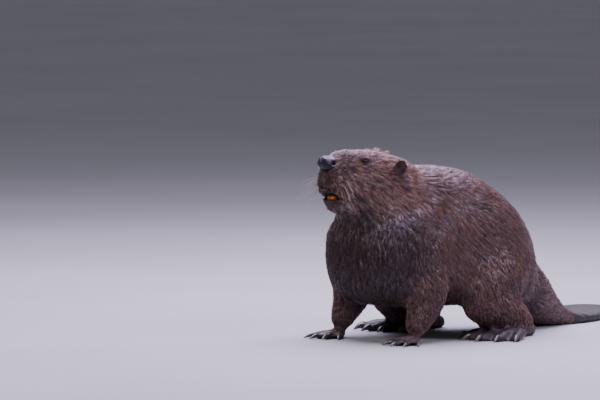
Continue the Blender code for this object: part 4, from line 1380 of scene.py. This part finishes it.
def make_scales(surface, tree, material):
    """Low plates in staggered rows, on the tail's upper and lower face."""
    low, high = (np.array(corner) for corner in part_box("tail"))
    lengthways = np.array((math.sin(TAIL_BEARING), -math.cos(TAIL_BEARING), 0.0))
    crossways = np.cross(UP, lengthways)
    centre, span = (low + high) / 2, np.linalg.norm((high - low)[:2]) / 2
    rows, columns = int(span / SCALE_ROW), int(span / SCALE_PITCH)
    tail = FLESH.index("tail")
    parts = []
    for face_up, row, column in product((1, -1), range(-rows, rows + 1), range(-columns, columns + 1)):
        shift = (column + 0.5 * (row % 2)) * SCALE_PITCH
        spot = centre + lengthways * row * SCALE_ROW + crossways * shift
        spot[2] = RAY_START * face_up
        spot[:2] += CHANCE.normal(0, SCALE_JITTER, 2)
        hit, normal, face, _ = tree.ray_cast(Vector(spot), Vector((0, 0, -face_up)))
        if hit is None or surface.owners[surface.triangles[face][0]] != tail:
            continue
        parts.append(scale(np.array(hit), np.array(normal), lengthways, CHANCE.random()))
    piece_of(parts, "tail_scales", "tone_value", material)


# ---------------------------------------------------------------- eyes and teeth
CORNEA_BULGE = 0.0004
CORNEA_FALL = 6  # the higher, the smaller the cornea


def make_eyes(material):
    for side, mirror in SIDES.items():
        bm = bmesh.new()
        bmesh.ops.create_uvsphere(bm, u_segments=40, v_segments=24, radius=EYE_RADIUS)
        axis = Vector(eye_axis(mirror))
        for vertex in bm.verts:
            facing = max(0.0, vertex.co.normalized().dot(axis))
            vertex.co += axis * CORNEA_BULGE * facing**CORNEA_FALL
        mesh = mesh_of(bm, f"eyeball_{side}")
        mesh.transform(Matrix.Translation(Vector(EYES[side])))
        mesh.shade_smooth()
        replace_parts(piece(mesh, f"eyeball_{side}", material), f"eye_{side}")


Chisel = namedtuple("Chisel", "up along half_depth half_width")
INCISOR = (
    Chisel(-0.0330, 0.1305, 0.0040, 0.0030),
    Chisel(-0.0290, 0.1318, 0.0050, 0.0036),
    Chisel(-0.0245, 0.1326, 0.0056, 0.0038),
    Chisel(-0.0208, 0.1328, 0.0055, 0.0038),
    Chisel(-0.0188, 0.1330, 0.0046, 0.0036),
    Chisel(-0.0181, 0.1338, 0.0030, 0.0030),
)
INCISOR_SPREAD = 0.0041  # from the middle of the pair to a tooth's middle
INCISOR_SQUARENESS = 3.4  # 2 is an ellipse
INCISOR_SIDES = 24


def squared(wave):
    return np.sign(wave) * np.abs(wave) ** (2 / INCISOR_SQUARENESS)


def make_teeth(material):
    """The lower incisors, a pair of curved chisels."""
    angles = turns(INCISOR_SIDES)
    depth, width = squared(np.cos(angles)), squared(np.sin(angles))
    parts = []
    for mirror in SIDES.values():
        rings = [
            np.stack([
                level.along + level.half_depth * depth,
                INCISOR_SPREAD * mirror + level.half_width * width,
                np.full(INCISOR_SIDES, level.up),
            ], axis=1)
            for level in INCISOR
        ]
        points = from_head(np.concatenate(rings))
        parts.append((points, tube_faces(len(rings), INCISOR_SIDES), np.zeros(len(points))))
    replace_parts(piece_of(parts, "teeth", "along", material), "incisors")


# ---------------------------------------------------------------- the room
FLOOR_RADIUS = 60.0
WORLD_COLOUR = (0.86, 0.85, 1.0, 1)
WORLD_STRENGTH = 0.36
Light = namedtuple("Light", "place target size power colour")
LIGHTS = {
    "overhead": Light((-0.4, 0.3, 2.1), (0, -0.1, 0.1), 2.8, 250, (0.80, 0.73, 1.0)),
    "key": Light((1.0, -2.6, 2.2), (0, -0.2, 0.15), 1.2, 50, (1.0, 0.93, 0.90)),
    "flank": Light((2.4, 0.6, 1.6), (0, -0.05, 0.15), 1.2, 60, (0.88, 0.78, 1.0)),
}


def make_floor():
    bm = bmesh.new()
    bmesh.ops.create_circle(bm, cap_ends=True, segments=96, radius=FLOOR_RADIUS)
    obj = object_of(mesh_of(bm, "floor"), "floor")
    obj.data.materials.append(floor_material())


def make_lights():
    world = bpy.data.worlds.new("studio")
    bpy.context.scene.world = world
    world.use_nodes = True
    sky = world.node_tree.nodes["Background"].inputs
    sky["Color"].default_value = WORLD_COLOUR
    sky["Strength"].default_value = WORLD_STRENGTH
    for name, lamp in LIGHTS.items():
        light = bpy.data.lights.new(name, "AREA")
        light.shape = "DISK"
        light.size = lamp.size
        light.energy = lamp.power
        light.color = lamp.colour
        obj = object_of(light, name)
        obj.location = lamp.place
        obj.rotation_euler = (Vector(lamp.target) - obj.location).to_track_quat("-Z", "Y").to_euler()


# The camera looks from the animal's left front, a little from above, as from far away.
CAMERA_AZIMUTH = math.radians(45)
CAMERA_ELEVATION = math.radians(4)
CAMERA_DISTANCE = 11.0
CAMERA_WIDTH = 1.0  # of what it sees at the animal
CAMERA_TARGET_SIDE = -0.210
CAMERA_TARGET_HEIGHT = 0.228


def make_camera():
    data = bpy.data.cameras.new("camera")
    camera = object_of(data, "camera")
    data.sensor_width = 36
    data.lens = data.sensor_width * CAMERA_DISTANCE / CAMERA_WIDTH
    data.clip_end = 100
    sine, cosine = math.sin(CAMERA_AZIMUTH), math.cos(CAMERA_AZIMUTH)
    flat = math.cos(CAMERA_ELEVATION)
    back = Vector((sine * flat, -cosine * flat, math.sin(CAMERA_ELEVATION)))
    target = Vector((0, BODY_ORIGIN[1], CAMERA_TARGET_HEIGHT))
    target += Vector((cosine, sine, 0)) * CAMERA_TARGET_SIDE
    camera.location = target + back * CAMERA_DISTANCE
    camera.rotation_euler = (-back).to_track_quat("-Z", "Y").to_euler()
    bpy.context.scene.camera = camera


# ---------------------------------------------------------------- everything
surface = make_surface()
sculpt_face(surface)
flatten_soles(surface)
make_skin(surface, skin_material(), nose_material())
skin_tree = tree_of(surface.points, surface.triangles)
make_coat(surface, skin_tree, fur_material())
make_whiskers(skin_tree, whisker_material())
make_claws(claw_material())
make_scales(surface, skin_tree, scale_material())
make_eyes(eye_material())
make_teeth(tooth_material())
make_floor()
make_lights()
make_camera()
